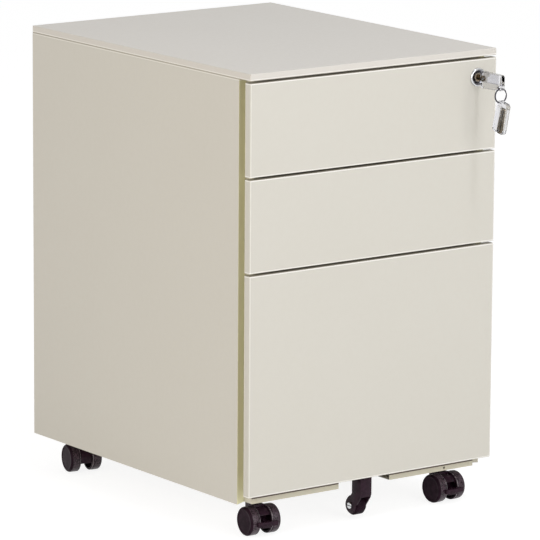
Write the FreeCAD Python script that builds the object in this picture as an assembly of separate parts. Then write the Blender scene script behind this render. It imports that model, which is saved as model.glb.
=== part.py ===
import FreeCAD, Part
import math
import os

# Office drawer cabinet on casters: two small drawers over a file drawer.
# Millimetres. X to the right, the drawer fronts face -Y, Z up from the floor.
# The origin is under the middle of the box that holds the whole object.

Vector = FreeCAD.Vector
X_AXIS = Vector(1, 0, 0)
Y_AXIS = Vector(0, 1, 0)
Z_AXIS = Vector(0, 0, 1)

# Cabinet envelope
cabinet_width = 390.0
cabinet_depth = 494.0
cabinet_height = 602.0
underside_height = 48.0
half_width = cabinet_width / 2.0

# Sheet steel and general clearances
sheet = 1.0
sheet_bend = 1.2
seam_bend = 0.8
running_gap = 0.3
fixed_fit = 0.03
turning_fit = 0.06

# Top panel, a shallow folded tray turned upside down
top_skirt = 9.0
top_hem = 14.0

# Drawer fronts
drawer_gap = 3.0
front_thickness = 11.2
front_edge_radius = 1.2
small_front_height = 118.9
base_rail_reveal = 12.8

# Finger groove between the fronts and the side panels
grip_opening = 13.3
grip_depth = 16.7
grip_slant = 8.1

# Carcass posts, rails and flanges
post_setback = 4.6
post_width = 6.3
post_return = 12.0
panel_flange = 14.0
rear_flange = 18.0
rear_post_width = 20.0
cross_rail_depth = 30.0
cross_rail_height = 13.5
base_rail_height = 14.0
base_rail_hem = 12.0
rail_rivet_x = 131.0
rail_rivet_height = 3.6
rail_rivet_radius = 1.5

# Notch in the base pan that the fifth wheel comes out of
notch_half_width = 41.0
notch_length = 69.0
notch_corner = 5.0

# Drawer boxes
box_back_clearance = 54.0
small_box_height = 72.0
small_box_lift = 7.0
file_box_height = 230.0
file_box_lift = 2.5

# Three-part ball-bearing slides
slide_length = 400.0
slide_height = 45.0
slide_thickness = 12.7
slide_metal = 1.2
slide_ball_race = 2.4
slide_front_margin = 1.7
slide_lip_gap = 3.0
small_slide_lift = 30.0
file_slide_lift = 90.0
cage_length = 100.0
cage_end_margin = 12.0
cage_play = 0.15

# Hanging file rails clipped on the sides of the file drawer
file_rail_height = 10.0
file_rail_wall = 1.5
file_rail_cap = 2.5
file_rail_play = 0.1

# Lock in the top drawer front
lock_from_right = 31.0
lock_from_top = 35.3
barrel_radius = 9.0
barrel_length = 24.0
bezel_radius = 12.2
bezel_height = 3.0
bezel_recess_radius = 8.6
bezel_recess = 1.5
plug_radius = 5.5
plug_tail_radius = 3.0
plug_rivet_radius = 4.2
plug_rivet_height = 0.8
lock_nut_radius = 12.0
lock_nut_height = 3.8
keyway_play = 0.3
cam_thickness = 2.4
cam_hub_radius = 6.5
cam_reach = 9.0
cam_pin_radius = 2.0
cam_pin_wall = 0.4
cam_pin_length = 5.4
cam_rest_angle = 45.0

# Lock bar that runs down inside the right front post
bar_thickness = 3.0
bar_depth = 13.5
bar_front_gap = 1.2
fork_gap = 1.7
fork_thickness = 3.2
fork_prong = 4.0
fork_play = 0.6
hook_height = 7.0
hook_reach = 10.0
guide_pin_radius = 2.0
guide_slot_play = 0.4
guide_pin_drop = 34.0
cam_window_margin = 3.0

# Catches on the drawers that the lock bar's hooks drop in front of
catch_width = 6.0
catch_sheet = 1.5
catch_height = 12.5
catch_lift = 3.0
catch_gap = 2.0

# Folding keys
key_thickness = 2.2
key_half_height = 3.7
key_length = 31.0
key_insertion = 18.5
key_pin_radius = 1.5
key_tip_chamfer = 2.2
key_cut_pitch = 3.0
key_cut_flank = 1.05
key_cut_depths = (1.2, 2.0, 0.8, 1.6)
head_length = 41.5
head_heel = 3.5
head_thickness = 7.0
head_width_heel = 22.0
head_width_toe = 20.5
head_drop = 1.4
head_corner = 4.0
head_slot_length = 32.0
head_slot_floor = 4.2
ring_hole_radius = 2.7
ring_hole_along = 34.0
ring_hole_across = 7.9
ring_radius = 9.1
ring_wire_radius = 0.9
ring_seat_drop = 0.8
spare_tilt = 14.0

# Twin-wheel casters
caster_inset_x = 46.0
caster_inset_y = 37.0
caster_trail = 12.8
caster_wheel_radius = 18.9
caster_wheel_width = 14.2
caster_wheel_gap = 0.5
caster_body_width = 15.6
caster_hood_radius = 16.6
caster_hood_drop = 6.0
caster_axle_radius = 2.5
caster_hub_floor = 2.0
caster_hub_dish = 0.6
caster_dish_margin = 3.5
caster_rim_radius = 2.4
stem_radius = 4.0
stem_collar_radius = 7.0
stem_head_radius = 6.0
stem_head_height = 2.0
stem_depth = 13.0
housing_collar_radius = 7.4
housing_step_radius = 8.6
housing_top = 42.0
housing_step_top = 38.5
housing_block_bottom = 20.0
swivel_front_left = -3.0
swivel_front_right = 3.0
swivel_rear_left = -10.0
swivel_rear_right = 22.0

# Brake levers on the two front casters
lever_width = 6.4
lever_side_play = 0.3
lever_hub_radius = 5.0
lever_thickness = 5.5
pedal_width = 30.0
pedal_depth = 4.6
pedal_gap = 0.5
pedal_lip = 3.0
pedal_corner = 1.4

# Fifth wheel under the file drawer
fifth_wheel_radius = 13.0
fifth_wheel_width = 13.2
fifth_wheel_clearance = 5.0
fifth_axle_setback = 21.8
fifth_block_depth = 18.5
fifth_block_height = 23.0
fifth_block_gap = 0.3
fifth_arm = 2.0
fifth_arm_radius = 10.5
fifth_axle_radius = 2.5
fifth_head_radius = 4.3
fifth_head_height = 2.4
fifth_head_edge = 0.8
fifth_slot_depth = 0.8
fifth_slot_width = 1.0
fifth_rim_radius = 1.2

# How far the hanging spare key reaches out in front, to the corner of its toe
plug_face = -bezel_height + bezel_recess
key_pivot_y = plug_face - (key_length - key_insertion)
spare_lean = math.radians(spare_tilt)
head_taper = math.atan((head_width_heel - head_width_toe) / 2.0 / head_length)
toe_corner_along = head_length - head_heel - head_corner
toe_corner_inset = head_corner / math.cos(head_taper) - head_corner * math.tan(head_taper)
toe_corner_across = head_width_toe / 2.0 - head_drop - toe_corner_inset
toe_past_hole = (toe_corner_along - ring_hole_along) * math.sin(spare_lean)
toe_past_hole += (toe_corner_across + ring_hole_across) * math.cos(spare_lean)
key_reach = ring_hole_along - key_pivot_y + toe_past_hole + head_corner

# Levels and depths that follow from the driving dimensions
pick_tolerance = 0.01
body_top = cabinet_height - top_skirt
front_y = -(cabinet_depth - key_reach) / 2.0
back_y = front_y + cabinet_depth
front_back_y = front_y + front_thickness
post_y = front_back_y + post_setback
side_edge_y = front_back_y + grip_opening
side_return_y = side_edge_y + grip_slant
post_outer_x = half_width - grip_depth
post_inner_x = post_outer_x - post_width
post_return_y = post_y + post_return
box_half_width = post_inner_x - slide_thickness
box_back_y = back_y - box_back_clearance
slide_front_y = post_y + slide_front_margin
slide_back_y = slide_front_y + slide_length
middle_front_bottom = body_top - 2.0 * (drawer_gap + small_front_height)
file_front_top = middle_front_bottom - drawer_gap
file_front_bottom = underside_height + base_rail_reveal
slide_half_height = slide_height / 2.0


def block(x0, x1, y0, y1, z0, z1):
    return Part.makeBox(x1 - x0, y1 - y0, z1 - z0, Vector(x0, y0, z0))


def rod(radius, start, direction, length):
    return Part.makeCylinder(radius, length, start, direction)


def union(shapes):
    return shapes[0].multiFuse(shapes[1:]).removeSplitter()


def mirrored(shape):
    return shape.mirror(Vector(0, 0, 0), X_AXIS)


def prism(points, extrusion):
    closed = Part.makePolygon(points + [points[0]])
    return Part.Face(closed).extrude(extrusion)


def export(name, shapes):
    solids = []
    for shape in shapes:
        solids.extend(shape.Solids)
    Part.makeCompound(solids).exportStep("parts/" + name + ".step")


def strip_outline(path, thickness):
    """Close a folded strip: the path, then the same path offset to its left."""
    count = len(path)
    normals = []
    for index in range(count - 1):
        du = path[index + 1][0] - path[index][0]
        dv = path[index + 1][1] - path[index][1]
        length = math.hypot(du, dv)
        normals.append((-dv / length, du / length))
    offset = []
    for index in range(count):
        before = normals[max(index - 1, 0)]
        after = normals[min(index, count - 2)]
        share = 1.0 + before[0] * after[0] + before[1] * after[1]
        shift_u = thickness * (before[0] + after[0]) / share
        shift_v = thickness * (before[1] + after[1]) / share
        offset.append((path[index][0] + shift_u, path[index][1] + shift_v))
    return path + offset[::-1]


def folded_upright(path, z0, z1):
    """A folded sheet whose section is drawn in X and Y, standing from z0 to z1."""
    points = [Vector(x, y, z0) for x, y in strip_outline(path, sheet)]
    return prism(points, Vector(0, 0, z1 - z0))


def folded_rail(path, thickness, y0, y1):
    """A folded strip whose section is drawn in X and Z, running from y0 to y1."""
    points = [Vector(x, y0, z) for x, z in strip_outline(path, thickness)]
    return prism(points, Vector(0, y1 - y0, 0))


def edges_along(shape, direction, test):
    """The straight edges along a direction whose middle point passes a test."""
    found = []
    for edge in shape.Edges:
        if len(edge.Vertexes) != 2 or not isinstance(edge.Curve, Part.Line):
            continue
        if edge.tangentAt(edge.FirstParameter).cross(direction).Length > 1e-6:
            continue
        if test(edge.CenterOfMass):
            found.append(edge)
    return found


def top_panel():
    """A tray 1 mm thick with a skirt on four sides and a hem turned in under it."""
    z0 = body_top
    z1 = cabinet_height
    tray = block(-half_width, half_width, front_y, back_y, z0, z1)
    corners = edges_along(tray, Z_AXIS, lambda p: True)
    rims = edges_along(tray, X_AXIS, lambda p: p.z > z1 - sheet)
    rims += edges_along(tray, Y_AXIS, lambda p: p.z > z1 - sheet)
    tray = tray.makeFillet(sheet_bend, corners + rims)
    hem_folds = edges_along(tray, X_AXIS, lambda p: p.z < z0 + pick_tolerance)
    hem_folds += edges_along(tray, Y_AXIS, lambda p: p.z < z0 + pick_tolerance)
    tray = tray.makeFillet(seam_bend, hem_folds)
    hollow_x = half_width - sheet
    hollow = block(-hollow_x, hollow_x, front_y + sheet, back_y - sheet, z0 + sheet, z1 - sheet)
    mouth_x = half_width - top_hem
    mouth = block(-mouth_x, mouth_x, front_y + top_hem, back_y - top_hem, z0, z0 + sheet)
    return tray.cut(hollow).cut(mouth)


def side_panel_right():
    """Outer skin, rear flange, and the front fold: slanted groove, lip and post."""
    z0 = underside_height
    z1 = body_top
    path = [
        (half_width - rear_flange, back_y),
        (half_width, back_y),
        (half_width, side_edge_y),
        (post_outer_x, side_return_y),
        (post_outer_x, post_y),
        (post_inner_x, post_y),
        (post_inner_x, post_return_y),
    ]
    # The offset lies to the left of the path, so it is walked the other way round
    skin = folded_upright(path[::-1], z0, z1)
    skin_corners = edges_along(skin, Z_AXIS, lambda p: p.x > half_width - pick_tolerance)
    skin = skin.makeFillet(sheet_bend / 2.0, skin_corners)
    inner_x = half_width - sheet
    flange_x = half_width - panel_flange
    flange_y0 = side_return_y + 2.0 * sheet
    flange_y1 = back_y - 2.0 * sheet - running_gap
    top_flange = block(flange_x, inner_x, flange_y0, flange_y1, z1 - sheet, z1)
    bottom_flange = block(flange_x, inner_x, flange_y0, flange_y1, z0 + sheet, z0 + 2.0 * sheet)
    panel = union([skin, top_flange, bottom_flange])
    outer_edges = edges_along(panel, Y_AXIS, lambda p: p.x > half_width - pick_tolerance)
    top_fold = [e for e in outer_edges if e.CenterOfMass.z > z1 - pick_tolerance]
    return panel.makeFillet(seam_bend, top_fold)


def cam_window():
    """The opening in the right post that the lock's cam turns in."""
    lock_x = half_width - lock_from_right
    lock_z = cabinet_height - lock_from_top
    reach = cam_reach + cam_pin_radius + cam_pin_wall + cam_window_margin
    x0 = post_inner_x - sheet
    x1 = min(post_outer_x - sheet, lock_x + reach)
    return block(x0, x1, post_y - sheet, post_return_y + sheet, lock_z - reach, lock_z + reach)


def rear_post_right():
    """A channel welded inside the side panel, which carries the slides at the back."""
    y1 = slide_back_y - slide_front_margin
    y0 = y1 - rear_post_width
    inner_x = half_width - sheet
    path = [(inner_x, y1), (post_inner_x, y1), (post_inner_x, y0), (inner_x, y0)]
    return folded_upright(path, underside_height + 2.0 * sheet, body_top - sheet)


def back_panel():
    x = half_width - sheet - running_gap
    y1 = back_y - sheet
    return block(-x, x, y1 - sheet, y1, underside_height + sheet, body_top - sheet)


def cross_rail():
    """The rail under the front of the top panel, between the two posts."""
    x = post_inner_x - fixed_fit
    web = block(-x, x, post_y, post_y + sheet, body_top - cross_rail_height, body_top)
    shelf = block(-x, x, post_y, post_y + cross_rail_depth, body_top - sheet, body_top)
    return union([web, shelf])


def caster_places():
    """The swivel axis of each caster, with the angle that it is turned to."""
    x = half_width - caster_inset_x
    y0 = post_y + caster_inset_y
    y1 = back_y - caster_inset_y
    return {
        "front_left": (-x, y0, swivel_front_left),
        "front_right": (x, y0, swivel_front_right),
        "rear_left": (-x, y1, swivel_rear_left),
        "rear_right": (x, y1, swivel_rear_right),
    }


def base_pan():
    """The floor of the carcass, with its front rail, fifth-wheel notch and stem holes."""
    z0 = underside_height
    between_posts = post_inner_x - running_gap
    inside_skins = half_width - sheet - running_gap
    tongue = block(-between_posts, between_posts, post_y, side_return_y + 3.0 * sheet, z0, z0 + sheet)
    plate_y1 = back_y - sheet - running_gap
    plate = block(-inside_skins, inside_skins, side_return_y + 2.0 * sheet, plate_y1, z0, z0 + sheet)
    rail_top = z0 + base_rail_height
    rail = block(-between_posts, between_posts, post_y, post_y + sheet, z0, rail_top)
    hem = block(-between_posts, between_posts, post_y, post_y + base_rail_hem, rail_top - sheet, rail_top)
    pan = union([tongue, plate, rail, hem])
    notch_y1 = post_y + notch_length
    notch = block(-notch_half_width, notch_half_width, post_y - sheet, notch_y1, z0 - sheet, rail_top + sheet)
    corners = edges_along(notch, Z_AXIS, lambda p: p.y > post_y)
    notch = notch.makeFillet(notch_corner, corners)
    holes = []
    for x, y, _ in caster_places().values():
        holes.append(rod(stem_radius + fixed_fit, Vector(x, y, z0 - sheet), Z_AXIS, 3.0 * sheet))
    rivet_z = z0 + rail_rivet_height
    holes.append(rod(rail_rivet_radius, Vector(rail_rivet_x, post_y - sheet, rivet_z), Y_AXIS, 3.0 * sheet))
    for hole in [notch] + holes:
        pan = pan.cut(hole)
    return pan


def drawer_levels():
    """Front bottom and top, box bottom and top, and slide centre of each drawer."""
    levels = {}
    top_front_top = body_top - drawer_gap
    top_front_bottom = top_front_top - small_front_height
    middle_front_top = top_front_bottom - drawer_gap
    for name, low, high in (
        ("top", top_front_bottom, top_front_top),
        ("middle", middle_front_bottom, middle_front_top),
    ):
        box_low = low + small_box_lift
        levels[name] = (low, high, box_low, box_low + small_box_height, box_low + small_slide_lift)
    low = file_front_bottom
    box_low = low + file_box_lift
    box_high = box_low + file_box_height
    levels["bottom"] = (low, file_front_top, box_low, box_high, box_low + file_slide_lift)
    return levels


def lock_axis_point(y):
    return Vector(half_width - lock_from_right, y, cabinet_height - lock_from_top)


def drawer_front(low, high, has_lock):
    """The painted front: a sheet with its four edges folded back."""
    pan = block(-half_width, half_width, front_y, front_back_y, low, high)
    outer = edges_along(pan, X_AXIS, lambda p: p.y < front_y + pick_tolerance)
    outer += edges_along(pan, Z_AXIS, lambda p: p.y < front_y + pick_tolerance)
    pan = pan.makeFillet(front_edge_radius, outer)
    x = half_width - sheet
    pan = pan.cut(block(-x, x, front_y + sheet, front_back_y, low + sheet, high - sheet))
    if has_lock:
        pan = pan.cut(rod(barrel_radius + fixed_fit, lock_axis_point(front_y - sheet), Y_AXIS, 3.0 * sheet))
    return pan


def catch_base_z(slide_z):
    return slide_z + slide_half_height + catch_lift


def bar_travel():
    return 2.0 * cam_reach * math.sin(math.radians(cam_rest_angle))


def hook_plane_y():
    """The front face of the lock bar's fork and hooks."""
    return front_y + barrel_length + 2.0 * running_gap + cam_thickness + fork_gap


def drawer_liner(low, high, slide_z, has_lock):
    """The plate that closes the back of a front, with the catch for the lock bar."""
    x = half_width - sheet - fixed_fit
    z0 = low + sheet + fixed_fit
    z1 = high - sheet - fixed_fit
    plate = block(-x, x, front_back_y - sheet, front_back_y, z0, z1)
    catch_x1 = post_inner_x - slide_lip_gap
    catch_x0 = catch_x1 - catch_width
    catch_y1 = hook_plane_y() + fork_thickness + catch_gap + catch_sheet
    z = catch_base_z(slide_z)
    arm = block(catch_x0, catch_x1, front_back_y - sheet, catch_y1, z, z + catch_sheet)
    tooth = block(catch_x0, catch_x1, catch_y1 - catch_sheet, catch_y1, z, z + catch_height)
    liner = union([plate, arm, tooth])
    if has_lock:
        hole_start = lock_axis_point(front_y)
        liner = liner.cut(rod(barrel_radius + fixed_fit, hole_start, Y_AXIS, 2.0 * front_thickness))
    return liner


def drawer_box(low, high):
    """An open tray folded from one sheet."""
    x = box_half_width
    outer = block(-x, x, front_back_y, box_back_y, low, high)
    corners = edges_along(outer, Z_AXIS, lambda p: p.y > box_back_y - sheet)
    outer = outer.makeFillet(sheet_bend, corners)
    x_in = x - sheet
    inner = block(-x_in, x_in, front_back_y + sheet, box_back_y - sheet, low + sheet, high + sheet)
    return outer.cut(inner)


def slide_channel(gap_to_box, half_height, web_first, depth, slide_z):
    """A channel beside the drawer box: its web is next to the box or next to the post."""
    near = box_half_width + gap_to_box
    far = near + depth
    low = slide_z - half_height
    high = slide_z + half_height
    if web_first:
        path = [(far, high), (near, high), (near, low), (far, low)]
    else:
        path = [(near, low), (far, low), (far, high), (near, high)]
    return folded_rail(path, slide_metal, slide_front_y, slide_back_y)


def slide_member(member, slide_z):
    """One member of the right-hand slide."""
    step = slide_metal + slide_ball_race
    inner_half = slide_half_height - 2.0 * step
    middle_half = slide_half_height - step
    if member == "outer":
        depth = slide_thickness - slide_lip_gap
        return slide_channel(slide_lip_gap, slide_half_height, False, depth, slide_z)
    if member == "middle":
        gap = slide_lip_gap - running_gap
        depth = slide_thickness - gap - slide_metal - slide_ball_race / 2.0
        return slide_channel(gap, middle_half, False, depth, slide_z)
    return slide_channel(0.0, inner_half, True, slide_thickness - 2.0 * step, slide_z)


def ball_cages(slide_z):
    """Four strips of balls: the outer pair stays at the back, the inner pair at the front."""
    step = slide_metal + slide_ball_race
    x0 = box_half_width + slide_lip_gap + slide_metal
    x1 = x0 + slide_ball_race
    strips = []
    rear = (slide_back_y - cage_end_margin - cage_length, slide_back_y - cage_end_margin)
    front = (slide_front_y + cage_end_margin, slide_front_y + cage_end_margin + cage_length)
    for count, (y0, y1) in ((0, rear), (1, front)):
        race_top = slide_half_height - slide_metal - count * step - cage_play
        race_low = race_top - slide_ball_race + 2.0 * cage_play
        for sign in (-1.0, 1.0):
            edges = sorted((slide_z + sign * race_top, slide_z + sign * race_low))
            strips.append(block(x0, x1, y0, y1, edges[0], edges[1]))
    return strips


def file_rail_right(box_high):
    """A clip-on rail over the side wall, which hanging folders slide along."""
    x0 = box_half_width - sheet - file_rail_play
    x1 = box_half_width + file_rail_play
    low = box_high - file_rail_height + file_rail_cap
    rail = block(
        x0 - file_rail_wall,
        x1 + file_rail_wall,
        front_back_y + 2.0 * sheet,
        box_back_y - 2.0 * sheet,
        low,
        box_high + file_rail_cap,
    )
    ridges = edges_along(rail, Y_AXIS, lambda p: p.z > box_high)
    rail = rail.makeFillet(file_rail_wall / 2.0, ridges)
    return rail.cut(block(x0, x1, front_back_y, box_back_y, low - sheet, box_high))


def lock_barrel():
    """The chromed barrel with its round bezel, bored for the plug."""
    body = rod(barrel_radius, lock_axis_point(front_y), Y_AXIS, barrel_length)
    bezel = rod(bezel_radius, lock_axis_point(front_y - bezel_height), Y_AXIS, bezel_height)
    face_y = front_y - bezel_height + pick_tolerance
    rim = [e for e in bezel.Edges if e.CenterOfMass.y < face_y and e.Closed]
    bezel = bezel.makeFillet(bezel_recess, rim)
    barrel = union([body, bezel])
    recess = rod(bezel_recess_radius, lock_axis_point(front_y - bezel_height), Y_AXIS, bezel_recess)
    bore_start = lock_axis_point(front_y - bezel_height)
    bore = rod(plug_radius + turning_fit, bore_start, Y_AXIS, bezel_height + barrel_length)
    return barrel.cut(recess).cut(bore)


def lock_nut():
    start = lock_axis_point(front_back_y)
    corners = []
    for index in range(6):
        angle = math.radians(60.0 * index)
        offset = Vector(lock_nut_radius * math.cos(angle), 0, lock_nut_radius * math.sin(angle))
        corners.append(start + offset)
    nut = prism(corners, Vector(0, lock_nut_height, 0))
    return nut.cut(rod(barrel_radius + fixed_fit, start, Y_AXIS, lock_nut_height))


def cam_front_y():
    return front_y + barrel_length + running_gap


def lock_plug():
    """The turning core with its keyway, and the riveted tail that holds the cam."""
    plug_y = front_y + plug_face
    core = rod(plug_radius, lock_axis_point(plug_y), Y_AXIS, cam_front_y() - plug_y)
    tail = rod(plug_tail_radius, lock_axis_point(cam_front_y()), Y_AXIS, cam_thickness)
    rivet = rod(plug_rivet_radius, lock_axis_point(cam_front_y() + cam_thickness), Y_AXIS, plug_rivet_height)
    plug = union([core, tail, rivet])
    centre = lock_axis_point(plug_y)
    half_x = key_thickness / 2.0 + keyway_play
    half_z = key_half_height + keyway_play
    slot_y1 = plug_y + key_insertion + running_gap
    slot = block(centre.x - half_x, centre.x + half_x, plug_y, slot_y1, centre.z - half_z, centre.z + half_z)
    return plug.cut(slot)


def cam_pin_point(y):
    centre = lock_axis_point(y)
    angle = math.radians(cam_rest_angle)
    return centre + Vector(cam_reach * math.cos(angle), 0, cam_reach * math.sin(angle))


def lock_cam():
    """A plate on the plug's tail with a pin that lifts and lowers the lock bar."""
    y0 = cam_front_y()
    hub = rod(cam_hub_radius, lock_axis_point(y0), Y_AXIS, cam_thickness)
    boss_radius = cam_pin_radius + cam_pin_wall
    boss = rod(boss_radius, cam_pin_point(y0), Y_AXIS, cam_thickness)
    along = (cam_pin_point(y0) - lock_axis_point(y0)).normalize()
    across = Vector(-along.z, 0, along.x) * boss_radius
    arm_points = [
        lock_axis_point(y0) + across,
        cam_pin_point(y0) + across,
        cam_pin_point(y0) - across,
        lock_axis_point(y0) - across,
    ]
    arm = prism(arm_points, Vector(0, cam_thickness, 0))
    pin = rod(cam_pin_radius, cam_pin_point(y0), Y_AXIS, cam_thickness + cam_pin_length)
    cam = union([hub, boss, arm, pin])
    return cam.cut(rod(plug_tail_radius + fixed_fit, lock_axis_point(y0), Y_AXIS, cam_thickness))


def bar_x0():
    """The lock bar stands in the middle of the hollow of the right post."""
    hollow_middle = (post_inner_x + post_outer_x) / 2.0
    return hollow_middle - bar_thickness / 2.0


def bar_front_y():
    return post_y + sheet + bar_front_gap


def guide_pin_levels():
    """One guide pin under the catch of each drawer."""
    return [catch_base_z(level[4]) - guide_pin_drop for level in drawer_levels().values()]


def guide_pin_y():
    return bar_front_y() + bar_depth / 2.0 - guide_pin_radius


def lock_bar():
    """A flat bar with a fork for the cam's pin and one hook over each drawer's catch."""
    x0 = bar_x0()
    x1 = x0 + bar_thickness
    hook_y0 = hook_plane_y()
    hook_y1 = hook_y0 + fork_thickness
    pin = cam_pin_point(0.0)
    slot_half = cam_pin_radius + fork_play
    fork_low = pin.z - slot_half - fork_prong
    fork_high = pin.z + slot_half + fork_prong
    lowest_pin = min(guide_pin_levels())
    bar_low = lowest_pin - bar_depth
    window = cam_reach + cam_pin_radius + cam_pin_wall + cam_window_margin + bar_travel() / 2.0
    shoulder = cabinet_height - lock_from_top - window
    bar = block(x0, x1, bar_front_y(), hook_y1, bar_low, shoulder)
    neck = block(x0, x1, hook_y0, hook_y1, shoulder - sheet, fork_high)
    fork_x0 = post_inner_x - slide_lip_gap - catch_width
    fork = block(fork_x0, x1, hook_y0, hook_y1, fork_low, fork_high)
    pieces = [bar, neck, fork]
    for level in drawer_levels().values():
        low = catch_base_z(level[4]) + catch_sheet + running_gap + bar_travel()
        pieces.append(block(x1 - hook_reach - bar_thickness, x1, hook_y0, hook_y1, low, low + hook_height))
    bar = union(pieces)
    slot_x1 = half_width - lock_from_right + cam_reach + cam_pin_radius + fork_play
    cuts = [block(fork_x0 - sheet, slot_x1, hook_y0, hook_y1, pin.z - slot_half, pin.z + slot_half)]
    slot_radius = guide_pin_radius + guide_slot_play
    for z in guide_pin_levels():
        y = guide_pin_y()
        cuts.append(rod(slot_radius, Vector(x0, y, z), X_AXIS, bar_thickness))
        cuts.append(rod(slot_radius, Vector(x0, y, z + bar_travel()), X_AXIS, bar_thickness))
        cuts.append(block(x0, x1, y - slot_radius, y + slot_radius, z, z + bar_travel()))
    for cut in cuts:
        bar = bar.cut(cut)
    return bar


def lock_bar_pins():
    """Shoulder pins across the hollow of the post, which guide the bar's slots."""
    x0 = post_inner_x + sheet
    x1 = post_outer_x - sheet
    pins = []
    for z in guide_pin_levels():
        pins.append(rod(guide_pin_radius, Vector(x0, guide_pin_y(), z), X_AXIS, x1 - x0))
    return pins


def key_head():
    """A flat clear head lying in Y and Z: its pivot at the origin, its toe towards -Y."""
    heel = head_heel
    toe = heel - head_length
    points = [
        Vector(-head_thickness / 2.0, heel, -head_drop - head_width_heel / 2.0),
        Vector(-head_thickness / 2.0, heel, -head_drop + head_width_heel / 2.0),
        Vector(-head_thickness / 2.0, toe, -head_drop + head_width_toe / 2.0),
        Vector(-head_thickness / 2.0, toe, -head_drop - head_width_toe / 2.0),
    ]
    head = prism(points, Vector(head_thickness, 0, 0))
    head = head.makeFillet(head_corner, edges_along(head, X_AXIS, lambda p: True))
    half_slot = key_thickness / 2.0 + keyway_play
    slot = block(-half_slot, half_slot, -head_slot_length, heel, -head_slot_floor, head_width_heel)
    hole_start = Vector(-head_thickness, -ring_hole_along, -ring_hole_across)
    hole = rod(ring_hole_radius, hole_start, X_AXIS, 2.0 * head_thickness)
    head = head.cut(slot).cut(hole)
    pin = rod(key_pin_radius, Vector(-head_thickness / 2.0, 0, 0), X_AXIS, head_thickness)
    return union([head, pin])


def key_blade():
    """A steel blade with its pivot at the origin and its tip towards +Y."""
    half = key_thickness / 2.0
    profile = [
        Vector(-half, 0, -key_half_height),
        Vector(-half, key_length - key_tip_chamfer, -key_half_height),
        Vector(-half, key_length, -key_half_height + key_tip_chamfer),
        Vector(-half, key_length, key_half_height - key_tip_chamfer),
        Vector(-half, key_length - key_tip_chamfer, key_half_height),
        Vector(-half, 0, key_half_height),
    ]
    blade = prism(profile, Vector(key_thickness, 0, 0))
    eye = rod(key_half_height, Vector(-half, 0, 0), X_AXIS, key_thickness)
    blade = union([blade, eye])
    bitting = []
    first_cut = key_length - key_tip_chamfer - key_cut_pitch * len(key_cut_depths)
    edge_z = key_half_height + pick_tolerance
    for index, depth in enumerate(key_cut_depths):
        y0 = first_cut + key_cut_pitch * index
        y1 = y0 + key_cut_pitch
        notch = [
            Vector(-key_thickness, y0, edge_z),
            Vector(-key_thickness, y0 + key_cut_flank, key_half_height - depth),
            Vector(-key_thickness, y1 - key_cut_flank, key_half_height - depth),
            Vector(-key_thickness, y1, edge_z),
        ]
        bitting.append(prism(notch, Vector(2.0 * key_thickness, 0, 0)))
    bore = rod(key_pin_radius + turning_fit, Vector(-key_thickness, 0, 0), X_AXIS, 2.0 * key_thickness)
    for cut in bitting + [bore]:
        blade = blade.cut(cut)
    return blade


def key_pivot():
    return lock_axis_point(front_y + key_pivot_y)


def ring_top():
    """The middle of the ring's wire where it hangs in the hole of the first key."""
    hole = key_pivot() + Vector(0, -ring_hole_along, -ring_hole_across)
    return hole - Vector(0, 0, ring_seat_drop)


def ring_bottom():
    return ring_top() - Vector(0, 0, 2.0 * ring_radius)


def key_ring():
    centre = ring_top() - Vector(0, 0, ring_radius)
    return Part.makeTorus(ring_radius, ring_wire_radius, centre, Y_AXIS)


def spare_key_pivot():
    """The spare key hangs by its hole, its long axis leaning by the spare tilt."""
    hole = ring_bottom() - Vector(0, 0, ring_seat_drop)
    along = Vector(0, -math.sin(spare_lean), math.cos(spare_lean))
    across = Vector(0, math.cos(spare_lean), math.sin(spare_lean))
    return hole - along * ring_hole_along - across * ring_hole_across


def place_key(shape, pivot):
    placed = shape.copy()
    placed.translate(pivot)
    return placed


def place_spare(shape, pivot):
    """Stand a key part up: toe upwards, hole side towards the back, then lean it."""
    placed = shape.copy()
    placed.rotate(Vector(0, 0, 0), X_AXIS, -90.0 + spare_tilt)
    placed.translate(pivot)
    return placed


def spare_head():
    """The spare's head is the same piece, turned over so its hole is at the back."""
    turned = key_head()
    turned.rotate(Vector(0, 0, 0), Y_AXIS, 180.0)
    return place_spare(turned, spare_key_pivot())


def spare_blade():
    """The spare's blade, folded into its head with its teeth towards the back."""
    folded = key_blade()
    folded.rotate(Vector(0, 0, 0), X_AXIS, 180.0)
    folded.rotate(Vector(0, 0, 0), Y_AXIS, 180.0)
    return place_spare(folded, spare_key_pivot())


def turned_about_stem(shape, place):
    x, y, angle = place
    placed = shape.copy()
    placed.rotate(Vector(0, 0, 0), Z_AXIS, angle)
    placed.translate(Vector(x, y, 0))
    return placed


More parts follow.
